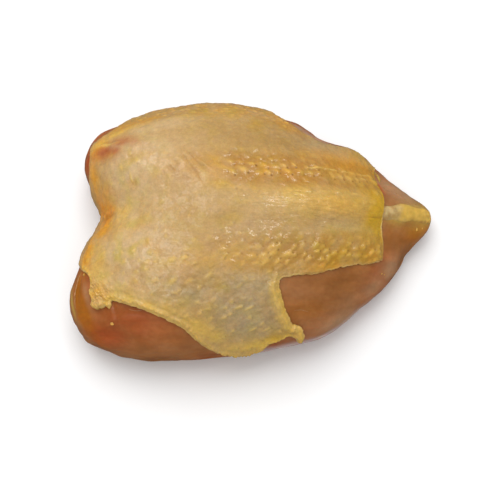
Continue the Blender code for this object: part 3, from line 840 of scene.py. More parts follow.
class SkinSettings(bpy.types.PropertyGroup):
    thickness: length("Thickness", "How far the top of the skin stands off the flesh", 0.0021)
    mesh_step: length("Mesh step", "Space between the top's points in the feather tracts", 0.00036)
    calm_step: length("Calm mesh step", "Space between the top's points elsewhere", 0.00058)
    bump_height: length("Follicle height", "Height of the bumps in the feather tracts", 0.00042)
    bump_length: length("Follicle length", "Half length of a bump in the feather tracts", 0.00190)
    bump_width: length("Follicle width", "Half width of a bump in the feather tracts", 0.00108)
    bump_space: length("Follicle space", "Space along a row of bumps", 0.0052)
    pit_size: length("Pit size", "Half width of the pit at each follicle's end", 0.00042)
    scatter_space: length("Scatter space", "Space between the small bumps outside the tracts", 0.0060)
    lumps: length("Lumps", "Height of the low lumps of fat under the skin", 0.00030)
    subsurface: factor("Translucency", "How much light spreads under the surface", 0.20)
    skin: colour("Skin", "Skin over most of the breast", 206, 168, 112)
    deep: colour("Deep skin", "Darker mottling of the skin", 196, 156, 94)
    yellow: colour("Yellow", "Skin rich in yellow fat", 208, 162, 8)
    orange: colour("Orange", "Skin of the far tract and the neck edges", 236, 164, 50)
    # Notch of the neck: the orange colour of its fat, and painted shade deep in the notch
    brown: colour("Brown", "Skin deep in the notch of the neck", 236, 142, 0)
    dusky: colour("Dusky", "Darker skin beyond the far tract", 182, 143, 84)
    grey: colour("Grey", "Thin skin with the flesh showing through", 176, 159, 124)
    # Painted sheen: skin painted paler where broad light shines on it, mostly on the left lobes
    pale: colour("Pale", "Pale skin near the neck", 228, 195, 147)
    bruise: colour("Bruise", "Reddish bruise on the far lobe", 184, 78, 46)
    fat: colour("Fat", "Thick fat of the rims", 243, 198, 90)
    speck: colour("Specks", "Yellowish mottling", 200, 164, 76)
    blush: colour("Blush", "Pinkish grey mottling", 200, 163, 119)
    fleck_green: colour("Yellow flecks", "Small patches of greenish yellow", 204, 178, 72)
    fleck_orange: colour("Orange flecks", "Small patches of orange", 214, 162, 82)
    fleck_pink: colour("Pink flecks", "Small patches of pinkish white", 216, 186, 142)
    # Follicle tops: pale, with a painted highlight
    bump: colour("Follicle", "Tops of the follicles in the tracts", 238, 190, 88)
    # Small bumps: pale tops, and a painted glint that is also laid on raised ridges
    glimmer: colour("Small bumps", "Tops of the bumps outside the tracts", 238, 198, 106)
    # Painted shade between the follicles and in the wrinkles
    groove_shade: colour("Groove", "Between the follicles and in the wrinkles", 170, 116, 44)
    # Painted shade in each follicle's hole
    pit: colour("Pit", "The small hole at each follicle", 122, 78, 26)
    # The cut edge: pale, with a painted highlight along it
    cut: colour("Cut edge", "The cut edge of the skin", 236, 198, 120)


class FleshSettings(bpy.types.PropertyGroup):
    subsurface: factor("Translucency", "How much light spreads under the surface", 0.35)
    flesh: colour("Flesh", "Bare flesh", 183, 121, 70)
    # Darker flesh: uneven darker tone, and painted shadow along the skin's edges
    deep: colour("Deep flesh", "Darker flesh", 163, 105, 57)
    amber: colour("Amber", "Thin lit flesh at the neck and the tip", 180, 110, 4)
    rosy: colour("Rosy", "Greyish pink flesh", 187, 141, 102)
    red: colour("Red", "Blood-rich flesh", 190, 82, 42)
    # Membrane along the lowest edge, painted pale as a reflection of the white surroundings
    silver: colour("Membrane", "Membrane along the lowest edge", 224, 200, 194)
    fat: colour("Fat", "Fat along the neck edge", 206, 176, 84)


class KeelSettings(bpy.types.PropertyGroup):
    subsurface: factor("Translucency", "How much light spreads under the surface", 0.30)
    cartilage: colour("Cartilage", "Whitish cartilage beside the skin", 212, 182, 124)
    mottle: colour("Mottling", "Flesh that shows through the cartilage", 192, 156, 98)
    flesh: colour("Flesh round it", "Flesh that the rim of the strip fades into", 186, 134, 70)
    fat: colour("Keel fat", "Yellow fat over the keel's tip", 227, 184, 86)
    membrane: colour("Membrane", "Strands of membrane", 196, 142, 96)
    bead: colour("Bead", "Beads of fat", 228, 174, 84)


class StageSettings(bpy.types.PropertyGroup):
    floor: colour("Floor", "The plain floor", 250, 250, 250)
    key_power: FloatProperty(name="Key power", description="Overhead softbox", default=9.2, unit="POWER")
    glint_power: FloatProperty(name="Glint power", description="Small lamps", default=1.1, unit="POWER")
    sky: FloatProperty(name="Sky", description="Strength of the white surroundings", default=0.72, min=0)
    sky_gloss: factor("Sky gloss", "Share of the surroundings that the wet gloss reflects", 0.10)
    floor_bounce: factor("Floor bounce", "Share of the floor's light that reaches the breast", 0.85)


def skin_outline():
    """The skin's edge on the pattern, and how it is finished at each of its places."""
    places, traits = [], []
    for (corners, *finish), (following, *_) in zip(SKIN_EDGES, SKIN_EDGES[1:] + SKIN_EDGES[:1]):
        stretch = edge_curve(corners + following[:1], SKIN_OUTLINE_STEP)
        places.append(stretch)
        traits.append(np.tile(finish, (len(stretch), 1)))
    outline = np.concatenate(places)
    traits = np.concatenate(traits)
    reach = round(EDGE_BLEND / SKIN_OUTLINE_STEP)
    window = np.hanning(2 * reach + 1)
    padded = np.concatenate([traits[-reach:], traits, traits[:reach]])
    traits = np.column_stack([np.convolve(column, window / window.sum(), "valid") for column in padded.T])
    ragged = traits[:, 0] * waves(outline, EDGE_WAVES)
    return outline + outward_of(outline) * ragged[:, None], traits


def tract_bumps(settings, tract):
    """Follicles of one feather tract in staggered rows: (x, y, turn, half length, half width, height)."""
    draw = np.random.default_rng(tract.seed)
    bumps = []
    for number, (offset, strength) in enumerate(tract.rows):
        first = tract.start + settings.bump_space * (0.5 * (number % 2) + 0.12 * number)
        for x in np.arange(first, tract.end, settings.bump_space * (0.7 + 0.3 * tract.large)):
            x = x + draw.normal(0, TRACT_DRIFT[0])
            narrower = 1 - TRACT_NARROWS * ease(x, 0.0, 0.07)
            y = float(smooth(tract.line, np.array([x]))[0]) + offset * narrower
            y += draw.normal(0, TRACT_DRIFT[1])
            grow = ease(x, tract.start, tract.grown) * (1 + (tract.late - 1) * ease(x, 0.01, 0.04))
            grow = grow * draw.uniform(0.40, 1.1)
            size = tract.large * draw.uniform(0.65, 1.25)
            rise = settings.bump_height * tract.height * grow * strength
            turn = tract.turn + draw.normal(0, 12)
            bumps.append((x, y, turn, settings.bump_length * size, settings.bump_width * size, rise))
    return bumps


def tract_relief(settings, places):
    """Height of the feather tracts at each place, their pale tops with a painted highlight, and the painted
    shade of their pits and their ground.
    """
    heights, tops, pits, ground = np.zeros((4, len(places)))
    for tract in TRACTS:
        rise, top, pit = follicles(settings, places, tract_bumps(settings, tract))
        heights += rise
        tops = np.maximum(tops, top)
        pits = np.maximum(pits, pit * tract.pits)
        # Painted shade on the ground between the bumps, where they are low
        low = np.clip(0.8 - rise / (settings.bump_height * tract.height), 0, 1)
        ground = np.maximum(ground, tract_share(places, tract) * tract.height * low)
    return heights, tops, pits, ground


def scattered_bumps(settings, outline):
    """Small bumps in uneven rows over the skin outside the tracts, and those that stand out."""
    draw = np.random.default_rng(SCATTER_SEED)
    bumps = list(LONE_BUMPS)
    for x, y in grid_within(outline, settings.scatter_space, SCATTER_OFF_EDGE):
        x, y = x + draw.normal(0, SCATTER_DRIFT), y + draw.normal(0, SCATTER_DRIFT)
        place = np.array([[x, y]])
        on_tract = max(tract_share(place, tract)[0] for tract in TRACTS)
        on_strip = spot(place, KEEL_STRIP_PLACE, KEEL_STRIP_REACH)[0]
        beside = min(np.hypot(x - bump[0], y - bump[1]) for bump in LONE_BUMPS)
        if draw.uniform() < max(on_tract * 1.5, on_strip * 1.6, 0.20) or beside < LONE_CLEAR:
            continue
        rise = draw.uniform(*SCATTER_RISE) * float(np.interp(y, CALM_ABOVE, (1.0, CALM_SHARE)))
        turn = SCATTER_TURNS[0 if y < 0 else 1] + draw.normal(0, 28)
        bumps.append((x, y, turn, draw.uniform(*SCATTER_LENGTH), draw.uniform(*SCATTER_WIDTH), rise))
    return bumps


def follicles(settings, places, bumps):
    """Height of all the follicles at each place, the pale top with its painted highlight, and the painted
    shade in the pit.
    """
    height, top, pit = np.zeros((3, len(places)))
    for x, y, turn, half_length, half_width, rise in bumps:
        near = np.flatnonzero(np.abs(places - (x, y)).max(axis=1) < 2.8 * half_length)
        along, across = turned(places[near], (x, y), turn)
        reach = half_length * np.where(along > 0, HEAD_SHARE, TAIL_SHARE)
        dome = np.exp(-(((along / reach) ** 2 + (across / half_width) ** 2) ** 1.2))
        past_head = along - 1.35 * HEAD_SHARE * half_length
        hole = np.exp(-(past_head**2 + (across + 0.3 * half_width) ** 2) / settings.pit_size**2)
        strength = min(1.0, rise / settings.bump_height / 1.5)
        height[near] += rise * (dome - 0.5 * hole)
        top[near] = np.maximum(top[near], dome * strength)
        pit[near] = np.maximum(pit[near], hole * strength)
    return height, top, pit


def creased(places, creases):
    """How deep all the creases are at each place."""
    total = np.zeros(len(places))
    for *ends, half_width, depth in creases:
        start, end = np.reshape(ends, (2, 2))
        run = end - start
        turn = np.degrees(np.arctan2(run[1], run[0]))
        total += depth * spot(places, (start + end) / 2, (np.hypot(*run) * 0.55, half_width), turn)
    return total


def tract_share(places, tract):
    """1 on a feather tract and 0 away from it."""
    x, y = places.T
    off = np.abs(y - smooth(tract.line, x))
    grown = ease(x, tract.start, tract.grown) * fade(x, tract.end, tract.end + TRACT_FADES)
    return fade(off, tract.half_width * 0.6, tract.half_width * 1.15) * grown


def pleated(places):
    """Height of the soft parallel wrinkles at each place."""
    total = np.zeros(len(places))
    for number, (x, y, half_length, half_width, turn, wave, height) in enumerate(PLEATS):
        folds = uneven(places, wave, 90 + number, turn, 5.0)
        total += height * spot(places, (x, y), (half_length, half_width)) * folds
    return total


def skin_relief(settings, places):
    """Height of the skin's own relief, without its rim and its follicles."""
    on_strip = spot(places, KEEL_STRIP_PLACE, KEEL_STRIP_REACH)
    bend = np.column_stack([uneven(places, 0.012, seed) for seed in (27, 28)])
    return (
        settings.lumps * (waves(places, LUMP_WAVES) + waves(places, FINE_LUMP_WAVES) * (1 - on_strip))
        + waves(places, STRIP_WAVES) * on_strip
        + waves(places, CORNER_WAVES) * spot(places, CORNER_PLACE, CORNER_REACH)
        + pleated(places)
        - creased(places + CREASE_BEND * bend, SKIN_CREASES)
    )


def skin_material(settings):
    nodes = Nodes("raw chicken skin")
    broad = nodes.noise(48, 2)
    patches = nodes.noise(120, 1, turn=25)
    mid = nodes.noise(420, 2)
    fine = nodes.noise(1150, 1)
    colour_now = nodes.mix(nodes.spread(broad, 0.35, 0.68), albedo(settings.skin), albedo(settings.deep))
    for value, over in ((patches, settings.speck), (nodes.noise(95, 1, turn=70), settings.blush)):
        colour_now = nodes.mix(nodes.spread(value, 0.50, 0.72, 0.0, 0.50), colour_now, albedo(over))
    uneven_share = nodes.spread(nodes.sum("ADD", broad, patches), 0.75, 1.25, 0.70, 1.22)
    paints = [finish for finish in SKIN_SPOTS if finish != "fleck"]
    colour_now = nodes.painted(colour_now, settings, paints, uneven_share)
    for name, scale, turn in (("fleck_green", 150, 20), ("fleck_orange", 125, 100), ("fleck_pink", 140, 60)):
        fleck = nodes.spread(nodes.noise(scale, 0, turn=turn), 0.50, 0.74)
        fleck = nodes.sum("MULTIPLY", nodes.finish("fleck"), fleck)
        colour_now = nodes.mix(fleck, colour_now, albedo(getattr(settings, name)))
    # Painted shade between the follicles and in the wrinkles
    colour_now = nodes.painted(colour_now, settings, ["groove_shade"], nodes.spread(mid, 0.3, 0.7, 0.6, 1.1))
    # Pale bump tops with painted highlights, painted shade in the pits, and the pale cut edge with a painted
    # highlight
    for finish in ("glimmer", "bump", "pit", "cut"):
        colour_now = nodes.mix(nodes.finish(finish), colour_now, albedo(getattr(settings, finish)))
    colour_now = nodes.shaded(colour_now, (mid, 0.94, 1.06), (fine, 0.95, 1.05))
    # Painted light and shade along the fine lines of the smooth strip by the keel
    lines = nodes.noise(420, 3, stretch=(0.16, 1.4, 1.0), turn=-3)
    strip = nodes.finish("strip")
    colour_now = nodes.mix(strip, colour_now, nodes.spread(lines, 0.36, 0.64, 0.92, 1.08), "MULTIPLY")
    pores = nodes.bump(nodes.noise(700, 2), 0.00022)
    creases = nodes.bump(nodes.sum("MULTIPLY", lines, strip), 0.00060, pores)
    return nodes.made({
        "Base Color": colour_now,
        "Normal": creases,
        "Coat Normal": creases,
        "Roughness": nodes.spread(mid, 0.3, 0.7, 0.42, 0.55),
        "Specular IOR Level": 0.35,
        "Subsurface Weight": settings.subsurface,
        "Subsurface Radius": (1.0, 0.50, 0.20),
        "Subsurface Scale": 0.0024,
        "Coat Weight": 0.70,
        "Coat Roughness": 0.185,
    })


def rim_rise(settings, places, inset, traits):
    """Height of the skin's top without its relief: a thin rim, a rolled bead and a furrow beside it."""
    lumpy, rim, bead, bead_at = traits[:, 1:5].T
    rise = rim + (settings.thickness - rim) * ease(inset, 0.0, SKIN_RIM_WIDTH)
    rise *= np.interp(inset, (0.0, *EDGE_INSETS), EDGE_INSET_SHARES)
    grains = 1 + lumpy * waves(places, BEAD_WAVES)
    rise += bead * hump(inset - bead_at, bead_at * BEAD_WIDTH) * grains
    return rise - bead * FURROW_DEPTH * hump(inset - bead_at * FURROW_PLACE, bead_at * FURROW_WIDTH)


def tab_lift(places):
    """How far the flap's tab lifts off the flesh at each place."""
    return TAB_LIFT * spot(places, TAB_PLACE, (TAB_REACH, TAB_REACH))


class MakeSkin(bpy.types.Operator):
    """Makes the skin: a sheet over the flesh with feather tracts, wrinkles, rims of fat and a cut edge"""

    bl_idname = "raw_breast.make_skin"
    bl_label = "Make Skin"

    def execute(self, context):
        settings = context.scene.raw_breast_skin
        outline, traits = skin_outline()
        rings = []
        for inset in EDGE_INSETS:
            ring = outline - outward_of(outline) * inset
            rings.append(ring[nearest(ring, outline)[0] > inset * 0.85])
        inner = np.concatenate([*rings, self.graded_grid(settings, outline)])
        places = np.concatenate([outline, inner])
        away, number = nearest(inner, outline)
        inset = np.concatenate([np.zeros(len(outline)), away])
        traits = traits[np.concatenate([np.arange(len(outline)), number])]
        tracts = tract_relief(settings, places)
        loose = follicles(settings, places, scattered_bumps(settings, outline))
        relief = skin_relief(settings, places) + tracts[0] + loose[0]
        height = rim_rise(settings, places, inset, traits) + relief * ease(inset, 0.0002, 0.0012)
        top = laid_above(places, height + tab_lift(places))
        under_inner = grid_within(outline[::4], SKIN_UNDER_STEP, SKIN_UNDER_STEP * KEPT_OFF)
        under_places = np.concatenate([outline, under_inner])
        under = laid_above(under_places, tab_lift(under_places) - SKIN_SUNK)
        finishes = self.finishes(places, under_places, inset, traits, tracts, loose)
        faces = sheet_faces(outline, inner, under_inner)
        material = skin_material(settings)
        add_mesh("skin_sheet", np.concatenate([top, under]), faces, finishes, material, ("skin",))
        return {"FINISHED"}

    def graded_grid(self, settings, outline):
        """Grid places inside the skin's edge, closer together in the tracts and along the edge."""
        shares = []
        for step, wanted in ((settings.mesh_step, True), (settings.calm_step, False)):
            grid = grid_within(outline, step, EDGE_INSETS[-1] + settings.mesh_step * KEPT_OFF)
            busy = np.max([tract_share(grid, tract) for tract in TRACTS[:2]], axis=0) > 0.05
            busy |= nearest(grid, outline)[0] < 0.0025
            busy |= spot(grid, CORNER_PLACE, CORNER_REACH) > 0.2
            busy |= creased(grid, SKIN_CREASES) > 0.00003
            shares.append(grid[busy == wanted])
        return np.concatenate(shares)

    def finishes(self, places, under_places, inset, traits, tracts, loose):
        """How strong each finish is at the points of the top, and then of the underside."""
        every = np.concatenate([places, under_places])
        furrows = creased(places, SKIN_CREASES)
        folds = np.clip(-pleated(places) / 0.00018, 0, 0.5)
        creases = np.maximum(np.clip(furrows / 0.0004, 0, 1), folds)
        # Raised ridges get the small bumps' pale colour as a painted glint
        ridges = np.clip(-furrows / 0.0005, 0, 1)
        # The cut edge: pale, with a painted highlight along it
        cut = fade(inset, *CUT_REACH) * np.clip(0.60 + 0.40 * uneven(places, 0.010, 38), 0.1, 1.0)
        bead_at, fat = traits[:, 4:].T
        stripes = 0.82 + 0.18 * np.sin(2 * np.pi * inset / RIM_STRIPE + 1.5 * uneven(places, 0.008, 37))
        finishes = {finish: spots_of(rows, every) for finish, rows in SKIN_SPOTS.items()}
        finishes["strip"] = spot(every, KEEL_STRIP_PLACE, KEEL_STRIP_REACH)
        # Bump tops and ridges get painted highlights, pits, ground and creases painted shade, and the cut
        # edge its pale colour with a painted highlight
        for finish, values, under_value in (
            ("bump", tracts[1] * TRACT_TOPS, 0.0),
            ("glimmer", np.maximum(loose[1] * LOOSE_TOPS, ridges), 0.0),
            ("pit", np.maximum(tracts[2] * TRACT_PITS, loose[2] * LOOSE_PITS), 0.0),
            ("groove_shade", np.maximum(tracts[3] * TRACT_GROUND, creases * CREASE_DARK), 0.0),
            ("cut", cut * np.interp(ease(places[:, 0], *CUT_RUN), (0, 1), CUT_SHOWS), CUT_UNDER),
            ("rim fat", fat * stripes * fade(inset, bead_at * 1.2, bead_at * 2.4), 0.0),
        ):
            finishes[finish] = np.concatenate([values, np.full(len(under_places), under_value)])
        finishes["fat"] = np.maximum(finishes["fat"], finishes.pop("rim fat"))
        return finishes


def flesh_relief(places, fall):
    """Height of the flesh's own relief: low swells, fibres and creases, fading out at the foot."""
    return (waves(places, FLESH_WAVES) - creased(places, FLESH_CREASES)) * fade(fall, 120, 172)


def flesh_material(settings):
    nodes = Nodes("raw breast flesh")
    broad = nodes.noise(42, 3)
    mid = nodes.noise(120, 3, turn=40)
    fine = nodes.noise(480, 3)
    fibres = nodes.noise(170, 4, stretch=(0.14, 1.5, 1.0), turn=-6)
    blood = nodes.noise(26, 2, turn=30)
    colour_now = nodes.mix(nodes.spread(broad, 0.38, 0.64), albedo(settings.flesh), albedo(settings.deep))
    for value, low, high, most, over in (
        (mid, 0.50, 0.70, 0.20, settings.rosy),
        (blood, 0.50, 0.72, 0.40, settings.red),
        (blood, 0.46, 0.30, 0.30, settings.rosy),
    ):
        colour_now = nodes.mix(nodes.spread(value, low, high, 0.0, most), colour_now, albedo(over))
    colour_now = nodes.painted(colour_now, settings, FLESH_SPOTS, nodes.spread(broad, 0.3, 0.7, 0.75, 1.2))
    colour_now = nodes.shaded(colour_now, (mid, 0.95, 1.05), (fine, 0.94, 1.06), (fibres, 0.93, 1.07))
    grain = nodes.bump(nodes.noise(700, 3), 0.00004)
    strands = nodes.bump(nodes.noise(300, 3, stretch=(0.15, 1.3, 1.0), turn=-6), 0.00008, grain)
    return nodes.made({
        "Base Color": colour_now,
        "Normal": strands,
        "Coat Normal": strands,
        "Roughness": nodes.spread(fine, 0.3, 0.7, 0.34, 0.46),
        "Specular IOR Level": 0.30,
        "Subsurface Weight": settings.subsurface,
        "Subsurface Radius": (1.0, 0.35, 0.15),
        "Subsurface Scale": 0.0050,
        "Coat Weight": 0.30,
        "Coat Roughness": 0.20,
    })


class MakeFlesh(bpy.types.Operator):
    """Makes the two lobes of flesh, with creases, fibres and a finished underside"""

    bl_idname = "raw_breast.make_flesh"
    bl_label = "Make Flesh"

    def execute(self, context):
        settings = context.scene.raw_breast_flesh
        profile = self.profile()
        plane, foot = self.graded_plane(profile)
        places, directions, falls = self.pattern_of(plane, profile)
        points = flesh_point(directions, falls)
        points[:foot, 2] = 0.0
        faces = triangles(plane[:foot], plane[foot:])
        points = pushed_out(points, faces, flesh_relief(places, falls))
        points[:, 2] = np.maximum(points[:, 2], 0.0)
        inner, hollow = self.underside(points[:foot, :2])
        under = triangles(points[:foot, :2], inner)
        under = np.where(under < foot, under, under + len(points) - foot)[:, ::-1]
        points = np.concatenate([points, np.column_stack([inner, hollow])])
        every = np.concatenate([places, places[:foot].mean(axis=0) + 3 * inner])
        finishes = {finish: spots_of(rows, every) for finish, rows in FLESH_SPOTS.items()}
        # Membrane along the lowest edge, painted pale as a reflection of the white surroundings
        near_tip = fade(np.abs(np.mod(directions, 360) - MEMBRANE_SHEEN_DIRECTION), 12, 38)
        silver = ease(falls, 80, 93) * fade(falls, 98, 120) * near_tip
        finishes["silver"][:len(places)] = np.maximum(finishes["silver"][:len(places)], silver)
        material = flesh_material(settings)
        add_mesh("flesh_lobes", points, [*faces, *under], finishes, material, ("breast_flesh",))
        return {"FINISHED"}

    def graded_plane(self, profile):
        """Places on a plane where all falls have their true length, the foot's first, and the foot's number.

        They are closer together where the flesh is bare.
        """
        around = np.radians(self.around_foot())
        rim = profile[1][-1] * np.column_stack([np.cos(around), np.sin(around)])
        cover = skin_outline()[0][::4]
        shares = []
        for step, wanted in ((FLESH_STEP, False), (FLESH_COVERED_STEP, True)):
            grid = grid_within(rim, step, FLESH_STEP * KEPT_OFF)
            places = self.pattern_of(grid, profile)[0]
            away, number = nearest(places, cover)
            inside = ((places - cover[number]) * outward_of(cover)[number]).sum(axis=1) < 0
            shares.append(grid[(inside & (away > FLESH_COVERED_INSET)) == wanted])
        return np.concatenate([rim, *shares]), len(rim)

    def underside(self, foot):
        """Places inside the foot and the height of the shallow hollows over them."""
        inner = grid_within(foot, FLESH_UNDER_STEP, FLESH_UNDER_STEP * KEPT_OFF)
        inset = nearest(inner, foot)[0]
        swells = np.clip(0.5 + waves(inner, FLESH_UNDER_WAVES), 0, 1)
        middle = 1.6 * hump(inner[:, 1], 0.010) * ease(inset, 0.004, 0.02)
        return inner, FLESH_UNDER_RELIEF * (swells + middle) * ease(inset, 0.0, 0.006)

    def profile(self):
        """Falls from the crown to the foot, and how far down the flesh each one is, on average."""
        falls = np.linspace(0, 180, 361)
        around = [np.full(len(falls), float(direction)) for direction in range(0, 360, 30)]
        return falls, np.mean([run_along(flesh_point(direction, falls)) for direction in around], axis=0)

    def pattern_of(self, plane, profile):
        """Places on the pattern, directions and falls of places on the plane of true falls."""
        directions = np.degrees(np.arctan2(plane[:, 1], plane[:, 0]))
        falls = np.interp(np.hypot(plane[:, 0], plane[:, 1]), profile[1], profile[0])
        return pattern_point(directions, falls), directions, falls

    def around_foot(self):
        """Directions round the foot, evenly spaced along it."""
        fine = np.linspace(0, 360, 1441)
        so_far = run_along(flesh_point(fine, np.full(len(fine), 180.0)))
        reads = np.linspace(0, so_far[-1], round(so_far[-1] / FLESH_STEP), endpoint=False)
        return np.interp(reads, so_far, fine)


def keel_material(settings):
    nodes = Nodes("keel cartilage and fat")
    broad = nodes.noise(230, 2)
    fine = nodes.noise(600, 3)
    mottled = nodes.mix(nodes.spread(broad, 0.40, 0.62), albedo(settings.mottle), albedo(settings.cartilage))
    colour_now = nodes.mix(nodes.finish("fat"), mottled, albedo(settings.fat))
    colour_now = nodes.shaded(colour_now, (broad, 0.90, 1.10), (fine, 0.94, 1.06))
    colour_now = nodes.mix(nodes.finish("rim"), colour_now, albedo(settings.flesh))
    return nodes.made({
        "Base Color": colour_now,
        "Normal": nodes.bump(nodes.noise(600, 3), 0.00008),
        "Roughness": nodes.spread(fine, 0.3, 0.7, 0.32, 0.46),
        "Subsurface Weight": settings.subsurface,
        "Subsurface Radius": (1.0, 0.55, 0.30),
        "Subsurface Scale": 0.0030,
    })


class MakeKeel(bpy.types.Operator):
    """Makes the end of the keel: whitish cartilage beside the skin and yellow fat over the tip"""

    bl_idname = "raw_breast.make_keel"
    bl_label = "Make Keel Cartilage"

    def execute(self, context):
        settings = context.scene.raw_breast_keel
        outline = self.outline()
        inner = grid_within(outline, KEEL_STEP, KEEL_STEP * KEPT_OFF)
        places = np.concatenate([outline, inner])
        x, y = places.T
        inset = np.concatenate([np.zeros(len(outline)), nearest(inner, outline)[0]])
        breadth = smooth(KEEL_WIDTH, x) / 2
        arch = KEEL_FLAT_SHARE * ease(inset, 0.0, KEEL_RIM)
        arch += (1 - KEEL_FLAT_SHARE) * ease(inset / breadth, 0.0, 1.0)
        far_line = hump(y - smooth(KEEL_LINE_PLAN, x) - 0.55 * breadth, 0.0009) * ease(x, 0.084, 0.094)
        height = smooth(KEEL_HEIGHT, x) + waves(places, KEEL_WAVES) + KEEL_FAR_LINE * far_line
        height = height * arch - KEEL_SUNK
        under = np.full(len(places), -2 * KEEL_SUNK)
        points = np.concatenate([on_flesh(places, height), on_flesh(places, under)])
        fat = ease(x + 0.0015 * uneven(places, 0.006, 64), *KEEL_FAT_RUN)
        rim = 0.95 * fade(inset - 0.0007 * uneven(places, 0.005, 65), 0.0004, 0.0030)
        rim = np.maximum(rim, 0.8 * spot(places, KEEL_DARK_SPOT, KEEL_DARK_REACH))
        finishes = {"fat": np.tile(fat, 2), "rim": np.tile(rim, 2)}
        faces = sheet_faces(outline, inner, inner)
        material = keel_material(settings)
        add_mesh("keel_end", points, faces, finishes, material, ("keel_cartilage",))
        return {"FINISHED"}

    def outline(self):
        """The strip's edge on the pattern: its near side, its round tip and its far side."""
        start, end = KEEL_LINE_PLAN[0][0], KEEL_LINE_PLAN[-1][0]
        x = np.arange(start, end, KEEL_STEP)
        middle = smooth(KEEL_LINE_PLAN, x)
        half = smooth(KEEL_WIDTH, x) / 2
        ragged = 0.0006 * uneven(np.column_stack([x, middle]), 0.014, 61)
        near_side = np.column_stack([x, middle - half + ragged])
        far_side = np.column_stack([x, middle + half + ragged[::-1]])[::-1]
        turn = np.radians(np.linspace(-90, 90, 18)[1:-1])
        tip = (end, middle[-1]) + half[-1] * np.column_stack([0.65 * np.cos(turn), np.sin(turn)])
        return np.concatenate([near_side, tip, far_side])


def plain_wet_material(name, display_colour, subsurface):
    """Wet membrane or fat, uneven in tone."""
    nodes = Nodes(name)
    fine = nodes.noise(600, 3)
    shade = nodes.spread(fine, 0.3, 0.7, 0.82, 1.12)
    return nodes.made({
        "Base Color": nodes.mix(1.0, albedo(display_colour), shade, "MULTIPLY"),
        "Normal": nodes.bump(nodes.noise(900, 2), 0.00006),
        "Roughness": nodes.spread(fine, 0.3, 0.7, 0.24, 0.36),
        "Subsurface Weight": subsurface,
        "Subsurface Radius": (1.0, 0.55, 0.30),
        "Subsurface Scale": 0.0020,
    })


def on_flesh(places, height):
    """Points at a height over the flesh with its relief."""
    return laid_above(places, height + flesh_relief(places, polar(places)[1]))


class MakeStrands(bpy.types.Operator):
    """Makes the thin strands of membrane on the bare flesh"""

    bl_idname = "raw_breast.make_strands"
    bl_label = "Make Membrane Strands"

    def execute(self, context):
        settings = context.scene.raw_breast_keel
        membrane = plain_wet_material("membrane", settings.membrane, 0.2)
        fold = plain_wet_material("fold of skin", context.scene.raw_breast_skin.speck, 0.2)
        self.make("membrane_strands", MEMBRANE_STRANDS, membrane, "cartilage")
        self.make("skin_fold", FOLD_STRANDS, fold, "skin")
        return {"FINISHED"}

    def make(self, name, strands, material, slot):
        """A piece of tubes that lie on the flesh and taper to their ends."""
        points, faces = [], []
        for corners, half_width, half_height in strands:
            middle = np.concatenate([edge_curve(corners, STRAND_STEP), [corners[-1]]])
            run = np.gradient(middle, axis=0)
            across = np.column_stack([-run[:, 1], run[:, 0]]) / np.linalg.norm(run, axis=1, keepdims=True)
            swell = np.sin(np.linspace(0.06, np.pi - 0.06, len(middle))) ** 0.6
            swell = swell * (1 + 0.25 * uneven(middle, 0.004, 71))
            first = sum(map(len, points))
            for turn in np.linspace(0, 2 * np.pi, STRAND_SIDES, endpoint=False):
                side = middle + across * (half_width * swell * np.cos(turn))[:, None]
                points.append(on_flesh(side, half_height * swell * np.sin(turn)))
            starts = [first + side * len(middle) for side in range(STRAND_SIDES)]
            for here, there in zip(starts, starts[1:] + starts[:1]):
                for step in range(len(middle) - 1):
                    faces.append((here + step, here + step + 1, there + step + 1, there + step))
            faces += [tuple(starts), tuple(start + len(middle) - 1 for start in starts[::-1])]
        add_mesh(name, np.concatenate(points), faces, {}, material)


class MakeBeads(bpy.types.Operator):
    """Makes the small beads of fat on the bare flesh"""

    bl_idname = "raw_breast.make_beads"
    bl_label = "Make Fat Beads"

    def execute(self, context):
        settings = context.scene.raw_breast_keel
        ball = bmesh.new()
        bmesh.ops.create_icosphere(ball, subdivisions=3, radius=1.0)
        unit = np.array([tuple(vertex.co) for vertex in ball.verts])
        ball_faces = np.array([[vertex.index for vertex in face.verts] for face in ball.faces])
        ball.free()
        points, faces = [], []
        for number, (x, y, radius, height) in enumerate(FAT_BEADS):
            faces.append(ball_faces + sum(map(len, points)))
            lumpy = 1 + 0.14 * uneven(unit[:, :2] + unit[:, 2:] * 0.7, 1.6, 81 + number)
            places = (x, y) + unit[:, :2] * radius * lumpy[:, None]
            points.append(on_flesh(places, unit[:, 2] * height * lumpy))
        material = plain_wet_material("beads of fat", settings.bead, 0.3)
        add_mesh("fat_beads", np.concatenate(points), np.concatenate(faces), {}, material)
        return {"FINISHED"}


def add_light(name, direction, distance, size, power, glints):
    """A square lamp aimed at the breast, which gives either glints alone or no glints."""
    light = bpy.data.lights.new(name, "AREA")
    light.size = size
    light.energy = power
    lamp = bpy.data.objects.new(name, light)
    towards = Vector(direction).normalized()
    lamp.location = towards * distance
    lamp.rotation_euler = towards.to_track_quat("Z", "Y").to_euler()
    lamp.visible_glossy = glints
    lamp.visible_diffuse = not glints
    bpy.context.scene.collection.objects.link(lamp)


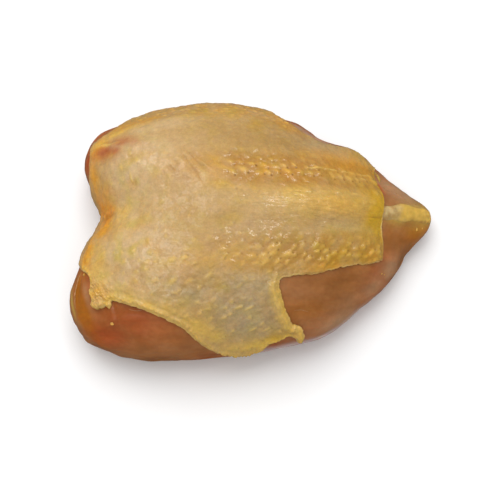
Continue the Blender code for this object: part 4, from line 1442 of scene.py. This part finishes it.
class MakeStage(bpy.types.Operator):
    """Makes the plain floor, the soft light and the camera"""

    bl_idname = "raw_breast.make_stage"
    bl_label = "Make Stage"

    def execute(self, context):
        settings = context.scene.raw_breast_stage
        self.add_floor(settings)
        self.add_world(settings)
        add_light("key softbox", KEY_DIRECTION, KEY_DISTANCE, KEY_SIZE, settings.key_power, False)
        for number, (direction, size, share) in enumerate(GLINT_LAMPS, 1):
            power = settings.glint_power * share
            add_light(f"glint lamp {number}", direction, GLINT_DISTANCE, size, power, True)
        camera = bpy.data.objects.new("camera", bpy.data.cameras.new("camera"))
        camera.data.lens = LENS
        tilt = np.radians(CAMERA_ELEVATION)
        back = Vector((0.0, -np.cos(tilt), np.sin(tilt)))
        right = Vector((1.0, 0.0, 0.0))
        up = back.cross(right)
        aim = Vector(CAMERA_TARGET) + Vector(STANDS_AT) + right * CAMERA_SLIDE[0] + up * CAMERA_SLIDE[1]
        camera.location = aim + back * CAMERA_DISTANCE
        camera.rotation_euler = back.to_track_quat("Z", "Y").to_euler()
        context.scene.collection.objects.link(camera)
        context.scene.camera = camera
        context.scene.view_settings.view_transform = "Standard"
        return {"FINISHED"}

    def add_floor(self, settings):
        """A white floor that the camera sees in full, and the wet gloss and the breast's light in part."""
        mesh = bpy.data.meshes.new("floor")
        half = FLOOR_SIZE / 2
        corners = [(-half, -half, 0.0), (half, -half, 0.0), (half, half, 0.0), (-half, half, 0.0)]
        mesh.from_pydata(corners, [], [(0, 1, 2, 3)])
        nodes = Nodes("plain floor")
        pale = np.array(settings.floor) ** 2.2
        rays = nodes.node("LightPath", {})
        seen = nodes.mix(rays["Is Camera Ray"], (*(pale * settings.floor_bounce), 1.0), (*pale, 1.0))
        seen = nodes.mix(rays["Is Glossy Ray"], seen, (*(pale * settings.sky_gloss), 1.0))
        mesh.materials.append(nodes.made({"Base Color": seen, "Roughness": 0.9, "Specular IOR Level": 0.1}))
        floor = bpy.data.objects.new("floor", mesh)
        bpy.context.scene.collection.objects.link(floor)

    def add_world(self, settings):
        """White surroundings, which the wet gloss reflects in part."""
        world = bpy.data.worlds.new("white surroundings")
        world.use_nodes = True
        tree = world.node_tree
        background = tree.nodes["Background"]
        background.inputs["Color"].default_value = (1.0, 1.0, 1.0, 1.0)
        rays = tree.nodes.new("ShaderNodeLightPath")
        strength = tree.nodes.new("ShaderNodeMapRange")
        strength.inputs["To Min"].default_value = settings.sky
        strength.inputs["To Max"].default_value = settings.sky * settings.sky_gloss
        tree.links.new(rays.outputs["Is Glossy Ray"], strength.inputs["Value"])
        tree.links.new(strength.outputs["Result"], background.inputs["Strength"])
        bpy.context.scene.world = world


class RawBreastPanel(bpy.types.Panel):
    bl_idname = "VIEW3D_PT_raw_breast"
    bl_label = "Raw Chicken Breast"
    bl_space_type = "VIEW_3D"
    bl_region_type = "UI"
    bl_category = "Raw Breast"

    def draw(self, context):
        for operator, settings in OPERATORS.items():
            self.layout.operator(operator.bl_idname)
            if settings:
                for name in SETTINGS[settings].__annotations__:
                    self.layout.prop(getattr(context.scene, settings), name)


SETTINGS = {
    "raw_breast_skin": SkinSettings,
    "raw_breast_flesh": FleshSettings,
    "raw_breast_keel": KeelSettings,
    "raw_breast_stage": StageSettings,
}
# Each operator, with the settings that the panel shows under it
OPERATORS = {
    MakeFlesh: "raw_breast_flesh",
    MakeSkin: "raw_breast_skin",
    MakeKeel: "raw_breast_keel",
    MakeStrands: None,
    MakeBeads: None,
    MakeStage: "raw_breast_stage",
}
CLASSES = (*SETTINGS.values(), *OPERATORS, RawBreastPanel)


def register():
    for kind in CLASSES:
        bpy.utils.register_class(kind)
    for name, group in SETTINGS.items():
        setattr(bpy.types.Scene, name, PointerProperty(type=group))


def unregister():
    for name in SETTINGS:
        delattr(bpy.types.Scene, name)
    for kind in reversed(CLASSES):
        bpy.utils.unregister_class(kind)


def main():
    register()
    bpy.ops.raw_breast.make_flesh()
    bpy.ops.raw_breast.make_skin()
    bpy.ops.raw_breast.make_keel()
    bpy.ops.raw_breast.make_strands()
    bpy.ops.raw_breast.make_beads()
    bpy.ops.raw_breast.make_stage()


if __name__ == "__main__":
    main()
